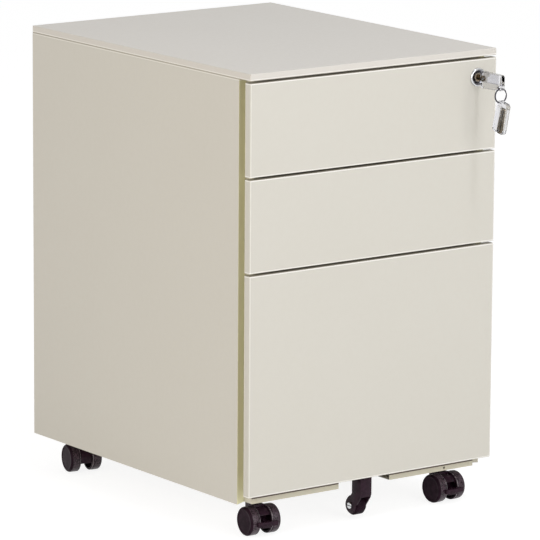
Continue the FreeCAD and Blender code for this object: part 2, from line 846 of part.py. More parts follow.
def caster_housing(has_brake):
    """The hood between the wheels and the collar that turns on the stem."""
    half = caster_body_width / 2.0
    axle_y = -caster_trail
    axle_z = caster_wheel_radius
    hood = rod(caster_hood_radius, Vector(-half, axle_y, axle_z), X_AXIS, caster_body_width)
    floor = axle_z - caster_hood_drop
    far = 2.0 * caster_hood_radius
    hood = hood.cut(block(-far, far, axle_y - far, axle_y + far, -far, floor))
    spine = block(-half, half, axle_y, housing_collar_radius, housing_block_bottom, housing_step_top)
    foot = Vector(0, 0, housing_block_bottom)
    step = rod(housing_step_radius, foot, Z_AXIS, housing_step_top - housing_block_bottom)
    step = step.common(block(-half, half, -far, far, 0, housing_top))
    collar = rod(housing_collar_radius, foot, Z_AXIS, housing_top - housing_block_bottom)
    housing = union([hood, spine, step, collar])
    stem_bottom = housing_top - stem_depth - running_gap
    cuts = [rod(stem_radius + turning_fit, Vector(0, 0, stem_bottom), Z_AXIS, housing_top)]
    cuts.append(rod(caster_axle_radius + fixed_fit, Vector(-far, axle_y, axle_z), X_AXIS, 2.0 * far))
    if has_brake:
        slot = lever_width / 2.0 + lever_side_play
        slot_back = axle_y + lever_hub_radius + running_gap
        slot_top = axle_z + lever_hub_radius + running_gap
        cuts.append(block(-slot, slot, axle_y - far, slot_back, floor - sheet, slot_top))
        lip_y = axle_y - lever_hub_radius - running_gap
        lip_z = axle_z + lever_thickness + pedal_lip
        cuts.append(block(-far, far, axle_y - far, lip_y, floor - sheet, lip_z))
    for cut in cuts:
        housing = housing.cut(cut)
    return housing


def caster_wheel(side):
    """A nylon wheel with a plain outer face and a blind bore from the inside."""
    inner_x = caster_body_width / 2.0 + caster_wheel_gap
    start = inner_x if side > 0 else -inner_x - caster_wheel_width
    centre = Vector(start, -caster_trail, caster_wheel_radius)
    wheel = rod(caster_wheel_radius, centre, X_AXIS, caster_wheel_width)
    outer_x = side * (inner_x + caster_wheel_width)
    rims = [e for e in wheel.Edges if e.Closed and isinstance(e.Curve, Part.Circle)]
    wheel = wheel.makeFillet(caster_rim_radius, rims)
    dish_radius = caster_wheel_radius - caster_dish_margin
    dish_start = outer_x - caster_hub_dish if side > 0 else outer_x
    dish_centre = Vector(dish_start, -caster_trail, caster_wheel_radius)
    wheel = wheel.cut(rod(dish_radius, dish_centre, X_AXIS, caster_hub_dish))
    bore_length = caster_wheel_width - caster_hub_floor
    bore_start = inner_x if side > 0 else -inner_x - bore_length
    bore_centre = Vector(bore_start, -caster_trail, caster_wheel_radius)
    return wheel.cut(rod(caster_axle_radius + turning_fit, bore_centre, X_AXIS, bore_length))


def caster_axle():
    inner_x = caster_body_width / 2.0 + caster_wheel_gap
    half = inner_x + caster_wheel_width - caster_hub_floor - running_gap
    return rod(caster_axle_radius, Vector(-half, -caster_trail, caster_wheel_radius), X_AXIS, 2.0 * half)


def brake_lever():
    """A lever on the axle between the wheels, with a wide pedal in front of them."""
    half = lever_width / 2.0
    axle_y = -caster_trail
    axle_z = caster_wheel_radius
    hub = rod(lever_hub_radius, Vector(-half, axle_y, axle_z), X_AXIS, lever_width)
    pedal_back = axle_y - caster_wheel_radius - pedal_gap
    pedal_top = axle_z + lever_thickness / 4.0
    pedal_low = pedal_top - lever_thickness
    arm = block(-half, half, pedal_back, axle_y, pedal_low, pedal_top)
    x = pedal_width / 2.0
    pedal = block(-x, x, pedal_back - pedal_depth, pedal_back, pedal_low, pedal_top)
    pedal = pedal.makeFillet(pedal_corner, edges_along(pedal, Z_AXIS, lambda p: p.y < pedal_back - sheet))
    lip_x = caster_body_width / 2.0 - lever_side_play
    lip = block(-lip_x, lip_x, pedal_back - sheet, pedal_back + pedal_lip, pedal_low - pedal_lip, pedal_top)
    lever = union([hub, arm, pedal, lip])
    bore_start = Vector(-half, axle_y, axle_z)
    return lever.cut(rod(caster_axle_radius + turning_fit, bore_start, X_AXIS, lever_width))


def caster_stem():
    """A threaded stem riveted through the base pan, with a collar under it."""
    low = housing_top - stem_depth
    high = underside_height + sheet
    shank = rod(stem_radius, Vector(0, 0, low), Z_AXIS, high - low)
    collar_low = housing_top + running_gap
    collar = rod(stem_collar_radius, Vector(0, 0, collar_low), Z_AXIS, underside_height - collar_low)
    head = rod(stem_head_radius, Vector(0, 0, high), Z_AXIS, stem_head_height)
    return union([shank, collar, head])


def fifth_axle_point(x):
    axle_z = fifth_wheel_radius + fifth_wheel_clearance
    return Vector(x, front_back_y + fifth_axle_setback, axle_z)


def fifth_bracket():
    """A moulded fork under the file drawer, its two arms each side of the wheel."""
    top = file_front_bottom + file_box_lift
    low = top - fifth_block_height
    half = fifth_wheel_width / 2.0 + running_gap + fifth_arm
    y0 = front_back_y + fifth_block_gap
    y1 = y0 + fifth_block_depth
    axle = fifth_axle_point(0.0)
    head = block(-half, half, y0, y1, low, top)
    shoulder_z = low - fifth_arm_radius / 2.0
    arm_points = [
        Vector(-half, y0, low),
        Vector(-half, y1, low),
        Vector(-half, y1, shoulder_z),
        Vector(-half, axle.y + fifth_arm_radius, axle.z + sheet),
        Vector(-half, axle.y + fifth_arm_radius, axle.z),
        Vector(-half, axle.y - fifth_arm_radius, axle.z),
        Vector(-half, y0 + fifth_arm, shoulder_z - fifth_arm_radius / 2.0),
        Vector(-half, y0, shoulder_z),
    ]
    arms = prism(arm_points, Vector(2.0 * half, 0, 0))
    foot = rod(fifth_arm_radius, fifth_axle_point(-half), X_AXIS, 2.0 * half)
    fork = union([head, arms, foot])
    gap = fifth_wheel_width / 2.0 + running_gap
    clearance = fifth_wheel_radius + 2.0 * running_gap
    slot = block(-gap, gap, y0 - sheet, axle.y + 2.0 * clearance, 0.0, axle.z + clearance)
    fork = fork.cut(slot)
    return fork.cut(rod(fifth_axle_radius + fixed_fit, fifth_axle_point(-2.0 * half), X_AXIS, 4.0 * half))


def fifth_wheel():
    half = fifth_wheel_width / 2.0
    wheel = rod(fifth_wheel_radius, fifth_axle_point(-half), X_AXIS, fifth_wheel_width)
    rims = [e for e in wheel.Edges if e.Closed and isinstance(e.Curve, Part.Circle)]
    wheel = wheel.makeFillet(fifth_rim_radius, rims)
    return wheel.cut(rod(fifth_axle_radius + turning_fit, fifth_axle_point(-half), X_AXIS, fifth_wheel_width))


def fifth_axle_bolt():
    """The axle bolt, its slotted head on the left and its riveted end on the right."""
    half = fifth_wheel_width / 2.0 + running_gap + fifth_arm
    shank = rod(fifth_axle_radius, fifth_axle_point(-half), X_AXIS, 2.0 * half)
    head = rod(fifth_head_radius, fifth_axle_point(-half - fifth_head_height), X_AXIS, fifth_head_height)
    face_x = pick_tolerance - half - fifth_head_height
    rim = [e for e in head.Edges if e.Closed and e.CenterOfMass.x < face_x]
    head = head.makeFillet(fifth_head_edge, rim)
    end = rod(fifth_head_radius, fifth_axle_point(half), X_AXIS, fifth_head_height / 2.0)
    bolt = union([shank, head, end])
    x0 = -half - fifth_head_height
    x1 = x0 + fifth_slot_depth
    centre = fifth_axle_point(x0)
    y0 = centre.y - 2.0 * fifth_head_radius
    y1 = centre.y + 2.0 * fifth_head_radius
    z0 = centre.z - fifth_slot_width / 2.0
    return bolt.cut(block(x0, x1, y0, y1, z0, z0 + fifth_slot_width))


def write_carcass():
    right = side_panel_right()
    export("side_panel_left", [mirrored(right)])
    export("side_panel_right", [right.cut(cam_window())])
    export("top_panel", [top_panel()])
    export("back_panel", [back_panel()])
    export("base_pan", [base_pan()])
    export("front_cross_rail", [cross_rail()])
    export("rear_posts", [rear_post_right(), mirrored(rear_post_right())])


def write_drawers():
    outers = []
    for name, (low, high, box_low, box_high, slide_z) in drawer_levels().items():
        has_lock = name == "top"
        export(name + "_drawer_front", [drawer_front(low, high, has_lock)])
        export(name + "_drawer_liner", [drawer_liner(low, high, slide_z, has_lock)])
        export(name + "_drawer_box", [drawer_box(box_low, box_high)])
        outer = slide_member("outer", slide_z)
        middle = slide_member("middle", slide_z)
        inner = slide_member("inner", slide_z)
        outers.extend([outer, mirrored(outer)])
        export(name + "_slide_middle", [middle, mirrored(middle)])
        export(name + "_slide_inner", [inner, mirrored(inner)])
        cages = ball_cages(slide_z)
        export(name + "_ball_cages", cages + [mirrored(cage) for cage in cages])
        if name == "bottom":
            rail = file_rail_right(box_high)
            export("hanging_file_rails", [rail, mirrored(rail)])
    export("slide_outers", outers)


def write_lock():
    export("lock_barrel", [lock_barrel()])
    export("lock_nut", [lock_nut()])
    export("lock_plug", [lock_plug()])
    export("lock_cam", [lock_cam()])
    export("lock_bar", [lock_bar()])
    export("lock_bar_pins", lock_bar_pins())


def write_keys():
    export("key_head", [place_key(key_head(), key_pivot())])
    export("key_blade", [place_key(key_blade(), key_pivot())])
    export("key_ring", [key_ring()])
    export("spare_key_head", [spare_head()])
    export("spare_key_blade", [spare_blade()])


def write_casters():
    stems = []
    for name, place in caster_places().items():
        has_brake = name.startswith("front")
        export("caster_housing_" + name, [turned_about_stem(caster_housing(has_brake), place)])
        export("caster_axle_" + name, [turned_about_stem(caster_axle(), place)])
        export("caster_wheel_left_" + name, [turned_about_stem(caster_wheel(-1), place)])
        export("caster_wheel_right_" + name, [turned_about_stem(caster_wheel(1), place)])
        if has_brake:
            export("brake_lever_" + name, [turned_about_stem(brake_lever(), place)])
        stems.append(turned_about_stem(caster_stem(), place))
    export("caster_stems", stems)


def write_fifth_wheel():
    export("fifth_wheel_bracket", [fifth_bracket()])
    export("fifth_wheel", [fifth_wheel()])
    export("fifth_wheel_bolt", [fifth_axle_bolt()])


os.makedirs("parts", exist_ok=True)
write_carcass()
write_drawers()
write_lock()
write_keys()
write_casters()
write_fifth_wheel()
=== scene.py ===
import math

import bmesh
import bpy
from mathutils import Matrix, Quaternion, Vector


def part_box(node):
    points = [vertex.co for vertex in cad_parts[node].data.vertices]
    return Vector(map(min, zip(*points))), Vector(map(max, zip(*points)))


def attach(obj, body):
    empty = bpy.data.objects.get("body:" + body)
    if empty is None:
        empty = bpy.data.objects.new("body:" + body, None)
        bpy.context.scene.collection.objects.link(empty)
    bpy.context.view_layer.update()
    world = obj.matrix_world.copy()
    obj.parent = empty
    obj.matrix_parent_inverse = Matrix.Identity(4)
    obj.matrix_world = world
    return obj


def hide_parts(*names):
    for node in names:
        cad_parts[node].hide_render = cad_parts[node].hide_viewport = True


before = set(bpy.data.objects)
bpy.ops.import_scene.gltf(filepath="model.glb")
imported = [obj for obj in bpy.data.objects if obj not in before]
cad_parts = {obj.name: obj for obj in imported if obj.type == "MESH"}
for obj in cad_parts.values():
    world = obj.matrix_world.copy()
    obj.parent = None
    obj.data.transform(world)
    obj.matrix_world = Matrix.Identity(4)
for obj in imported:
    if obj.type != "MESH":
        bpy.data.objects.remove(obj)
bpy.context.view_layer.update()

# Office drawer cabinet on casters: two small drawers over a file drawer.
# Metres, with small sizes written in millimetres times MM. X to the right, the drawer
# fronts face -Y, Z up from the floor.
MM = 0.001


# Camera. A long lens from the front left, a little above the cabinet's top. Its place is in
# metres from the middle of the drawer fronts and from the floor, and its angles in degrees.
camera_left = 3.4255
camera_ahead = 4.4724
camera_height = 1.4839
camera_azimuth = 36.1041
camera_elevation = 11.5600
camera_roll = 0.3642
camera_lens = 301.029

front_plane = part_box("top_drawer_front")[0].y
camera_data = bpy.data.cameras.new("photo_camera")
camera_data.lens = camera_lens
camera_data.sensor_width = 36.0
camera_data.clip_end = 100.0
camera = bpy.data.objects.new("photo_camera", camera_data)
bpy.context.scene.collection.objects.link(camera)
camera.location = (-camera_left, front_plane - camera_ahead, camera_height)
turn = math.radians(camera_azimuth)
tilt = math.radians(camera_elevation)
look = Vector((math.sin(turn) * math.cos(tilt), math.cos(turn) * math.cos(tilt), -math.sin(tilt)))
roll = Quaternion((0.0, 0.0, 1.0), math.radians(camera_roll))
camera.rotation_mode = "QUATERNION"
camera.rotation_quaternion = look.to_track_quat("-Z", "Y") @ roll
bpy.context.scene.camera = camera


# Studio. A white paper floor that runs out of sight, a pale room, and three softboxes:
# a neutral one in front, a warm one on the left and a cooler one overhead. What the eye
# and polished surfaces see of the floor and the room is white; the floor keeps the shadow.
def linear(hex_colour):
    """A hex colour as it is seen on a screen, turned to the linear light that shaders take."""
    channels = [int(hex_colour[start:start + 2], 16) / 255.0 for start in (1, 3, 5)]
    return [c / 12.92 if c <= 0.04045 else ((c + 0.055) / 1.055) ** 2.4 for c in channels] + [1.0]


def new_material(name):
    """An empty material, for nodes to be added."""
    material = bpy.data.materials.new(name)
    material.use_nodes = True
    material.node_tree.nodes.clear()
    return material


def add_node(tree, kind, inputs, **settings):
    """A node with its settings, each input given a value or linked from an output."""
    node = tree.nodes.new(kind)
    for name, value in settings.items():
        setattr(node, name, value)
    for name, value in inputs.items():
        if isinstance(value, bpy.types.NodeSocket):
            tree.links.new(value, node.inputs[name])
        else:
            node.inputs[name].default_value = value
    return node


def studio_rays(tree):
    """1 for what the eye, a polished surface or clear plastic sees, and 0 for lighting."""
    path = add_node(tree, "ShaderNodeLightPath", {})
    seen = add_node(tree, "ShaderNodeMath", {0: path.outputs["Is Camera Ray"], 1: path.outputs["Is Glossy Ray"]},
                    operation="MAXIMUM")
    return add_node(tree, "ShaderNodeMath", {0: seen.outputs[0], 1: path.outputs["Is Transmission Ray"]},
                    operation="MAXIMUM").outputs[0]


room_light = 0.42
floor_reach = 9.0
floor_shadow = 0.14
shadow_gain = 2.2
bpy.context.scene.view_settings.view_transform = "Standard"

world = bpy.data.worlds.new("studio")
world.use_nodes = True
world.node_tree.nodes.clear()
room = add_node(world.node_tree, "ShaderNodeBackground", {"Color": linear("#FFFFFF"), "Strength": room_light})
backdrop = add_node(world.node_tree, "ShaderNodeBackground", {"Color": linear("#FFFFFF"), "Strength": 1.0})
sky = add_node(world.node_tree, "ShaderNodeMixShader",
               {0: studio_rays(world.node_tree), 1: room.outputs[0], 2: backdrop.outputs[0]})
add_node(world.node_tree, "ShaderNodeOutputWorld", {"Surface": sky.outputs[0]})
bpy.context.scene.world = world

floor_paint = new_material("white_paper_floor")
floor_tree = floor_paint.node_tree
matte = add_node(floor_tree, "ShaderNodeBsdfDiffuse", {"Color": linear("#F4F4F4")})
shaded = add_node(floor_tree, "ShaderNodeBsdfDiffuse", {"Color": (floor_shadow * shadow_gain,) * 3 + (1.0,)})
glow = add_node(floor_tree, "ShaderNodeEmission",
                {"Color": linear("#FFFFFF"), "Strength": 1.0 - floor_shadow})
whitened = add_node(floor_tree, "ShaderNodeAddShader", {0: shaded.outputs[0], 1: glow.outputs[0]})
floor_mix = add_node(floor_tree, "ShaderNodeMixShader",
                     {0: studio_rays(floor_tree), 1: matte.outputs[0], 2: whitened.outputs[0]})
add_node(floor_tree, "ShaderNodeOutputMaterial", {"Surface": floor_mix.outputs[0]})
floor_mesh = bpy.data.meshes.new("floor")
corners = [(-floor_reach, -floor_reach, 0.0), (floor_reach, -floor_reach, 0.0),
           (floor_reach, floor_reach, 0.0), (-floor_reach, floor_reach, 0.0)]
floor_mesh.from_pydata(corners, [], [(0, 1, 2, 3)])
floor_mesh.materials.append(floor_paint)
floor = bpy.data.objects.new("floor", floor_mesh)
bpy.context.scene.collection.objects.link(floor)

lamp_aim = Vector((0.0, 0.0, 0.3))
for name, place, wide, tall, power, colour in (
    ("front_softbox", (0.4, -3.0, 1.3), 1.8, 1.8, 27.0, "#FFFFFF"),
    ("left_softbox", (-2.6, -0.9, 1.1), 1.6, 1.6, 22.0, "#FFF4E6"),
    ("overhead_strip", (0.22, -1.3, 2.6), 0.25, 0.9, 13.5, "#F2F5FF"),
):
    lamp_data = bpy.data.lights.new(name, "AREA")
    lamp_data.shape = "RECTANGLE"
    lamp_data.size = wide
    lamp_data.size_y = tall
    lamp_data.energy = power
    lamp_data.color = linear(colour)[:3]
    lamp = bpy.data.objects.new(name, lamp_data)
    lamp.location = place
    lamp.rotation_mode = "QUATERNION"
    lamp.rotation_quaternion = (lamp_aim - lamp.location).to_track_quat("-Z", "Y")
    bpy.context.scene.collection.objects.link(lamp)

# Two black cards that only polished metal and clear plastic see, as a photographer sets
# them beside the lamps, so that chrome shows dark bands between the white ones
card_aim = Vector((0.0, 0.0, 0.5))
card_black = new_material("black_card")
card_face = add_node(card_black.node_tree, "ShaderNodeBsdfDiffuse", {"Color": linear("#101010")})
add_node(card_black.node_tree, "ShaderNodeOutputMaterial", {"Surface": card_face.outputs[0]})
for name, place, wide, tall in (
    ("right_card", (2.6, -2.4, 0.6), 1.6, 2.2),
    ("upper_card", (-0.6, -1.8, 2.6), 2.4, 0.9),
):
    card_mesh = bpy.data.meshes.new(name)
    facing = (card_aim - Vector(place)).to_track_quat("Z", "Y")
    corners = [facing @ Vector((x * wide / 2.0, y * tall / 2.0, 0.0)) + Vector(place)
               for x, y in ((-1, -1), (1, -1), (1, 1), (-1, 1))]
    card_mesh.from_pydata(corners, [], [(0, 1, 2, 3)])
    card_mesh.materials.append(card_black)
    card = bpy.data.objects.new(name, card_mesh)
    bpy.context.scene.collection.objects.link(card)
    card.visible_camera = False
    card.visible_diffuse = False
    card.visible_shadow = False


# Carcass. 1 mm steel folded on a press brake, spot welded, and sprayed with warm grey-white
# polyester powder. Powder dries with a fine orange peel. The folds are painted pale as painted
# highlights, the seams dark as painted shade, the finger grooves khaki as painted warm bounce
# light, and the base rail khaki as painted shade with a painted shadow along its top.
def dress(node, *materials):
    """Give a CAD node its finish."""
    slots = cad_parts[node].data.materials
    slots.clear()
    for material in materials:
        slots.append(material)


# Real orange peel is 1 mm across or less and hardly shows from afar, so it is drawn coarser.
# The clouds are the slow changes of tone in the coat, and the grain the quick ones.
peel_size = 1.8 * MM
peel_depth = 0.016 * MM
cloud_size = 170.0 * MM
grain_size = 7.0 * MM
grain_share = 0.45
coat_roughness = 0.48
roughness_change = 0.04


def powder_coat(name, colour, faded, bands=()):
    """Powder coat. A band is a strip of painted light or shade on a fold, a seam, a groove or the
    base rail: its colour, its strength, and the places along X, Y or Z that it lies between."""
    material = new_material(name)
    tree = material.node_tree
    place = add_node(tree, "ShaderNodeTexCoord", {}).outputs["Object"]
    peel = add_node(tree, "ShaderNodeTexNoise", {"Vector": place, "Scale": 1.0 / peel_size, "Detail": 2.0})
    bump = add_node(tree, "ShaderNodeBump",
                    {"Height": peel.outputs[0], "Distance": peel_depth, "Strength": 1.0})
    clouds = add_node(tree, "ShaderNodeTexNoise", {"Vector": place, "Scale": 1.0 / cloud_size, "Detail": 3.0})
    grain = add_node(tree, "ShaderNodeTexNoise", {"Vector": place, "Scale": 1.0 / grain_size, "Detail": 4.0})
    blotch = add_node(tree, "ShaderNodeMix", {0: grain_share, 2: clouds.outputs[0], 3: grain.outputs[0]})
    tint = add_node(tree, "ShaderNodeMix", {0: blotch.outputs[0], 6: linear(colour), 7: linear(faded)},
                    data_type="RGBA").outputs[2]
    sheen = add_node(tree, "ShaderNodeMapRange",
                     {0: grain.outputs[0], 1: 0.3, 2: 0.7, 3: coat_roughness - roughness_change,
                      4: coat_roughness + roughness_change})
    axes = add_node(tree, "ShaderNodeSeparateXYZ", {0: place}).outputs
    for band_colour, strength, *limits in bands:
        inside = strength
        for axis, low, high in limits:
            within = add_node(tree, "ShaderNodeMath",
                              {0: axes["XYZ".index(axis)], 1: (low + high) / 2.0, 2: (high - low) / 2.0},
                              operation="COMPARE")
            inside = add_node(tree, "ShaderNodeMath", {0: inside, 1: within.outputs[0]},
                              operation="MULTIPLY").outputs[0]
        tint = add_node(tree, "ShaderNodeMix", {0: inside, 6: tint, 7: linear(band_colour)},
                        data_type="RGBA").outputs[2]
    coat = add_node(tree, "ShaderNodeBsdfPrincipled",
                    {"Base Color": tint, "Roughness": sheen.outputs[0], "IOR": 1.5, "Normal": bump.outputs[0]})
    add_node(tree, "ShaderNodeOutputMaterial", {"Surface": coat.outputs[0]})
    return material


# The coat, seen nearly as written: warm grey-white. The top is painted cooler and paler than the
# sides, as painted light for how the lamps fall on it. Inside, the coat is thinner and yellower.
coat_colour = "#DEDBD1"
coat_faded = "#DAD6CB"
top_painted_light = "#E3DFD7"
top_painted_light_faded = "#DFDAD1"
inside_colour = "#D6D1C3"
inside_faded = "#D0CBBC"
# Painted highlight: the folds are painted pale where they catch the light.
painted_fold_highlight = "#FFFDF6"
# Painted shade: the seams and gap faces are painted dark where shade falls into them.
painted_seam_shade = "#B7B1A2"
# Painted light: the finger grooves are painted a pale khaki for warm light bounced in the recess,
# and the right groove's bottom at the rail a plainer tone where it is lit.
groove_painted_warm_light = "#FFFBD0"
groove_painted_lit = "#D9D3C1"
# Painted shade: the base rail, under the drawer fronts, is painted a darker khaki.
rail_painted_shade = "#DAD4BF"
rail_shadow = "#5C4D42"

# Where the bands lie: past is how far a band reaches beyond the sheet's own edge
side_low, side_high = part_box("side_panel_right")
rail_low, rail_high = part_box("base_pan")
past = 1.0 * MM
groove_depth = 17.5 * MM
groove_reach = 16.3 * MM
groove_edge = 0.3 * MM
corner_start, corner_end = 16.6 * MM, 11.5 * MM
rail_skin = 0.6 * MM
shadow_drop = 7.6 * MM
groove_y = ("Y", side_low.y - past, side_low.y + groove_depth)
rail_front = ("Y", rail_low.y - past, rail_low.y + rail_skin)
rail_level = ("Z", rail_low.z - past, rail_high.z + past)
shadow_level = ("Z", rail_high.z - shadow_drop, rail_high.z + past)
seam_z = side_high.z
side_fold = ("Z", seam_z - 2.2 * MM, seam_z - 1.2 * MM)
side_seam = ("Z", seam_z - 0.8 * MM, seam_z + 0.1 * MM)
top_fold = ("Z", seam_z + 0.9 * MM, seam_z + 2.0 * MM)
top_seam = ("Z", seam_z - 0.1 * MM, seam_z + 0.5 * MM)
# The side panels: a painted highlight under the top seam, painted seam shade, and painted khaki shade with a
# painted shadow at the rail.
panel_bands = [(painted_fold_highlight, 0.6, side_fold),
               (painted_seam_shade, 0.8, side_seam),
               (rail_painted_shade, 1.0, rail_front, rail_level),
               (rail_shadow, 1.0, rail_front, shadow_level)]
left_groove = ("X", -side_high.x + groove_edge, -side_high.x + groove_reach)
right_groove = ("X", side_high.x - groove_reach, side_high.x - groove_edge)
right_corner = ("X", side_high.x - corner_start, side_high.x - corner_end)
# The grooves carry painted warm bounce light; the right one is painted lit at the rail, with a painted shadow at
# its corner.
left_bands = [(groove_painted_warm_light, 1.0, left_groove, groove_y)]
right_bands = [(groove_painted_warm_light, 1.0, right_groove, groove_y),
               (groove_painted_lit, 1.0, right_groove, groove_y, rail_level),
               (rail_shadow, 1.0, right_corner, groove_y, rail_level)]
for node, groove_bands in (("side_panel_left", left_bands), ("side_panel_right", right_bands)):
    dress(node, powder_coat("powder_coat_" + node, coat_colour, coat_faded, groove_bands + panel_bands))
# The top: a painted highlight on its lower fold and painted shade in its seam.
top_bands = [(painted_fold_highlight, 0.7, top_fold), (painted_seam_shade, 0.8, top_seam)]
dress("top_panel", powder_coat("powder_coat_top_panel", top_painted_light, top_painted_light_faded, top_bands))
plain_coat = powder_coat("powder_coat_plain", coat_colour, coat_faded)
dress("back_panel", plain_coat)
dress("front_cross_rail", plain_coat)
# The base rail carries painted khaki shade, with a painted shadow along its top.
rail_bands = [(rail_painted_shade, 1.0, rail_front), (rail_shadow, 1.0, rail_front, shadow_level)]
dress("base_pan", powder_coat("powder_coat_base_rail", coat_colour, coat_faded, rail_bands))
post_coat = powder_coat("powder_coat_inside", inside_colour, inside_faded)
dress("rear_posts", post_coat)


# Blind rivets. Domed aluminium rivets, set from outside in three rows and sprayed over with
# the cabinet, hold the back panel to its stiffeners.
def add_piece(name, mesh, body, stands_for=()):
    """Link a finished mesh as a piece of one body, in place of the CAD nodes it stands for."""
    mesh.name = name
    piece = bpy.data.objects.new(name, mesh)
    bpy.context.scene.collection.objects.link(piece)
    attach(piece, body)
    if stands_for:
        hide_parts(*stands_for)
    return piece


def as_mesh(shell, *materials, crease=38.0):
    """Turn a finished shell into a mesh, smooth except where it turns by more than crease."""
    mesh = bpy.data.meshes.new("shell")
    shell.to_mesh(mesh)
    shell.free()
    for material in materials:
        mesh.materials.append(material)
    mesh.shade_smooth()
    mesh.set_sharp_from_angle(angle=math.radians(crease))
    return mesh


def turned(profile, centre, axis, steps=72):
    """A shape turned on a lathe. The profile gives, in mm, how far along the axis and how far out."""
    shell = bmesh.new()
    along = Vector(axis).normalized()
    across = along.orthogonal().normalized()
    beside = along.cross(across)
    rings = []
    for travel, radius in profile:
        middle = Vector(centre) + along * travel * MM
        if radius == 0.0:
            rings.append([shell.verts.new(middle)])
            continue
        ring = []
        for step in range(steps):
            angle = 2.0 * math.pi * step / steps
            outward = across * math.cos(angle) + beside * math.sin(angle)
            ring.append(shell.verts.new(middle + outward * radius * MM))
        rings.append(ring)
    pairs = list(zip(rings, rings[1:]))
    if len(rings[0]) > 1:
        pairs.append((rings[-1], rings[0]))
    for first, second in pairs:
        for step in range(steps):
            after = (step + 1) % steps
            loop = [first[step % len(first)], first[after % len(first)],
                    second[after % len(second)], second[step % len(second)]]
            loop = list(dict.fromkeys(loop))
            if len(loop) > 2:
                shell.faces.new(loop)
    bmesh.ops.recalc_face_normals(shell, faces=shell.faces)
    return shell


def copies_at(places, source, material):
    """Geometry Nodes: one copy of a mesh at each place, made into one plain mesh."""
    tree = bpy.data.node_groups.new("copies_at_points", "GeometryNodeTree")
    tree.interface.new_socket("Points", in_out="INPUT", socket_type="NodeSocketGeometry")
    part_socket = tree.interface.new_socket("Part", in_out="INPUT", socket_type="NodeSocketObject")
    size_socket = tree.interface.new_socket("Size", in_out="INPUT", socket_type="NodeSocketFloat")
    finish_socket = tree.interface.new_socket("Finish", in_out="INPUT", socket_type="NodeSocketMaterial")
    tree.interface.new_socket("Geometry", in_out="OUTPUT", socket_type="NodeSocketGeometry")
    inputs = tree.nodes.new("NodeGroupInput")
    part = add_node(tree, "GeometryNodeObjectInfo", {"Object": inputs.outputs["Part"]})
    points = add_node(tree, "GeometryNodeMeshToPoints", {"Mesh": inputs.outputs["Points"]})
    spread = add_node(tree, "GeometryNodeInstanceOnPoints",
                      {"Points": points.outputs[0], "Instance": part.outputs["Geometry"],
                       "Scale": inputs.outputs["Size"]})
    real = add_node(tree, "GeometryNodeRealizeInstances", {0: spread.outputs[0]})
    finish = add_node(tree, "GeometryNodeSetMaterial",
                      {"Geometry": real.outputs[0], "Material": inputs.outputs["Finish"]})
    add_node(tree, "NodeGroupOutput", {"Geometry": finish.outputs[0]})
    cloud = bpy.data.meshes.new("places")
    cloud.from_pydata([Vector(place) for place in places], [], [])
    carrier = bpy.data.objects.new("places", cloud)
    original = bpy.data.objects.new("source", source)
    for thing in (carrier, original):
        bpy.context.scene.collection.objects.link(thing)
    modifier = carrier.modifiers.new("copies", "NODES")
    modifier.node_group = tree
    modifier[part_socket.identifier] = original
    modifier[size_socket.identifier] = 1.0
    modifier[finish_socket.identifier] = material
    bpy.context.view_layer.update()
    made = bpy.data.meshes.new_from_object(carrier.evaluated_get(bpy.context.evaluated_depsgraph_get()))
    carrier.modifiers.clear()
    for thing in (carrier, original):
        bpy.data.objects.remove(thing)
    return made


rivet_profile = [(0.3, 0.0), (0.3, 3.1), (0.0, 3.1), (-0.25, 3.1), (-0.6, 2.5), (-0.85, 1.3), (-0.88, 0.9),
                 (-0.5, 0.7), (-0.5, 0.0)]
rivet_source = as_mesh(turned(rivet_profile, (0.0, 0.0, 0.0), (0.0, -1.0, 0.0), steps=28))
rivet_rows = 6
rivet_inset = 26.0 * MM
rivet_end = 34.0 * MM
back_low, back_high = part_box("back_panel")
rivet_places = []
for row in range(rivet_rows):
    level = back_low.z + rivet_end + (back_high.z - back_low.z - 2.0 * rivet_end) * row / (rivet_rows - 1)
    for side in (back_low.x + rivet_inset, 0.0, back_high.x - rivet_inset):
        rivet_places.append((side, back_high.y, level))
add_piece("back_panel_rivets", copies_at(rivet_places, rivet_source, post_coat), "carcass")


# Slides. Three-member ball-bearing slides, roll formed from zinc-plated strip. Zinc is a cool
# satin grey with fine rolling lines along the strip and faint cloudy spangle.
line_size = 0.5
line_stretch = 0.02


def plated_steel(name, colour, faded, roughness, line_depth=0.01, spangle=14.0):
    """Plated metal with rolling lines along Y and changes of tone as wide as spangle, in mm. Real
    lines are about 0.1 mm apart, too fine to show, so they are drawn line_size mm apart."""
    material = new_material(name)
    tree = material.node_tree
    place = add_node(tree, "ShaderNodeTexCoord", {}).outputs["Object"]
    stretched = add_node(tree, "ShaderNodeMapping", {"Vector": place, "Scale": (1.0, line_stretch, 1.0)})
    lines = add_node(tree, "ShaderNodeTexNoise",
                     {"Vector": stretched.outputs[0], "Scale": 1.0 / (line_size * MM), "Detail": 2.0})
    bump = add_node(tree, "ShaderNodeBump",
                    {"Height": lines.outputs[0], "Distance": line_depth * MM, "Strength": 0.7})
    clouds = add_node(tree, "ShaderNodeTexNoise",
                      {"Vector": place, "Scale": 1.0 / (spangle * MM), "Detail": 3.0})
    tint = add_node(tree, "ShaderNodeMix", {0: clouds.outputs[0], 6: linear(colour), 7: linear(faded)},
                    data_type="RGBA").outputs[2]
    gloss = add_node(tree, "ShaderNodeMapRange",
                     {0: clouds.outputs[0], 1: 0.3, 2: 0.7, 3: roughness * 0.8, 4: roughness * 1.25})
    metal = add_node(tree, "ShaderNodeBsdfPrincipled",
                     {"Base Color": tint, "Metallic": 1.0, "Roughness": gloss.outputs[0],
                      "Normal": bump.outputs[0]})
    add_node(tree, "ShaderNodeOutputMaterial", {"Surface": metal.outputs[0]})
    return material


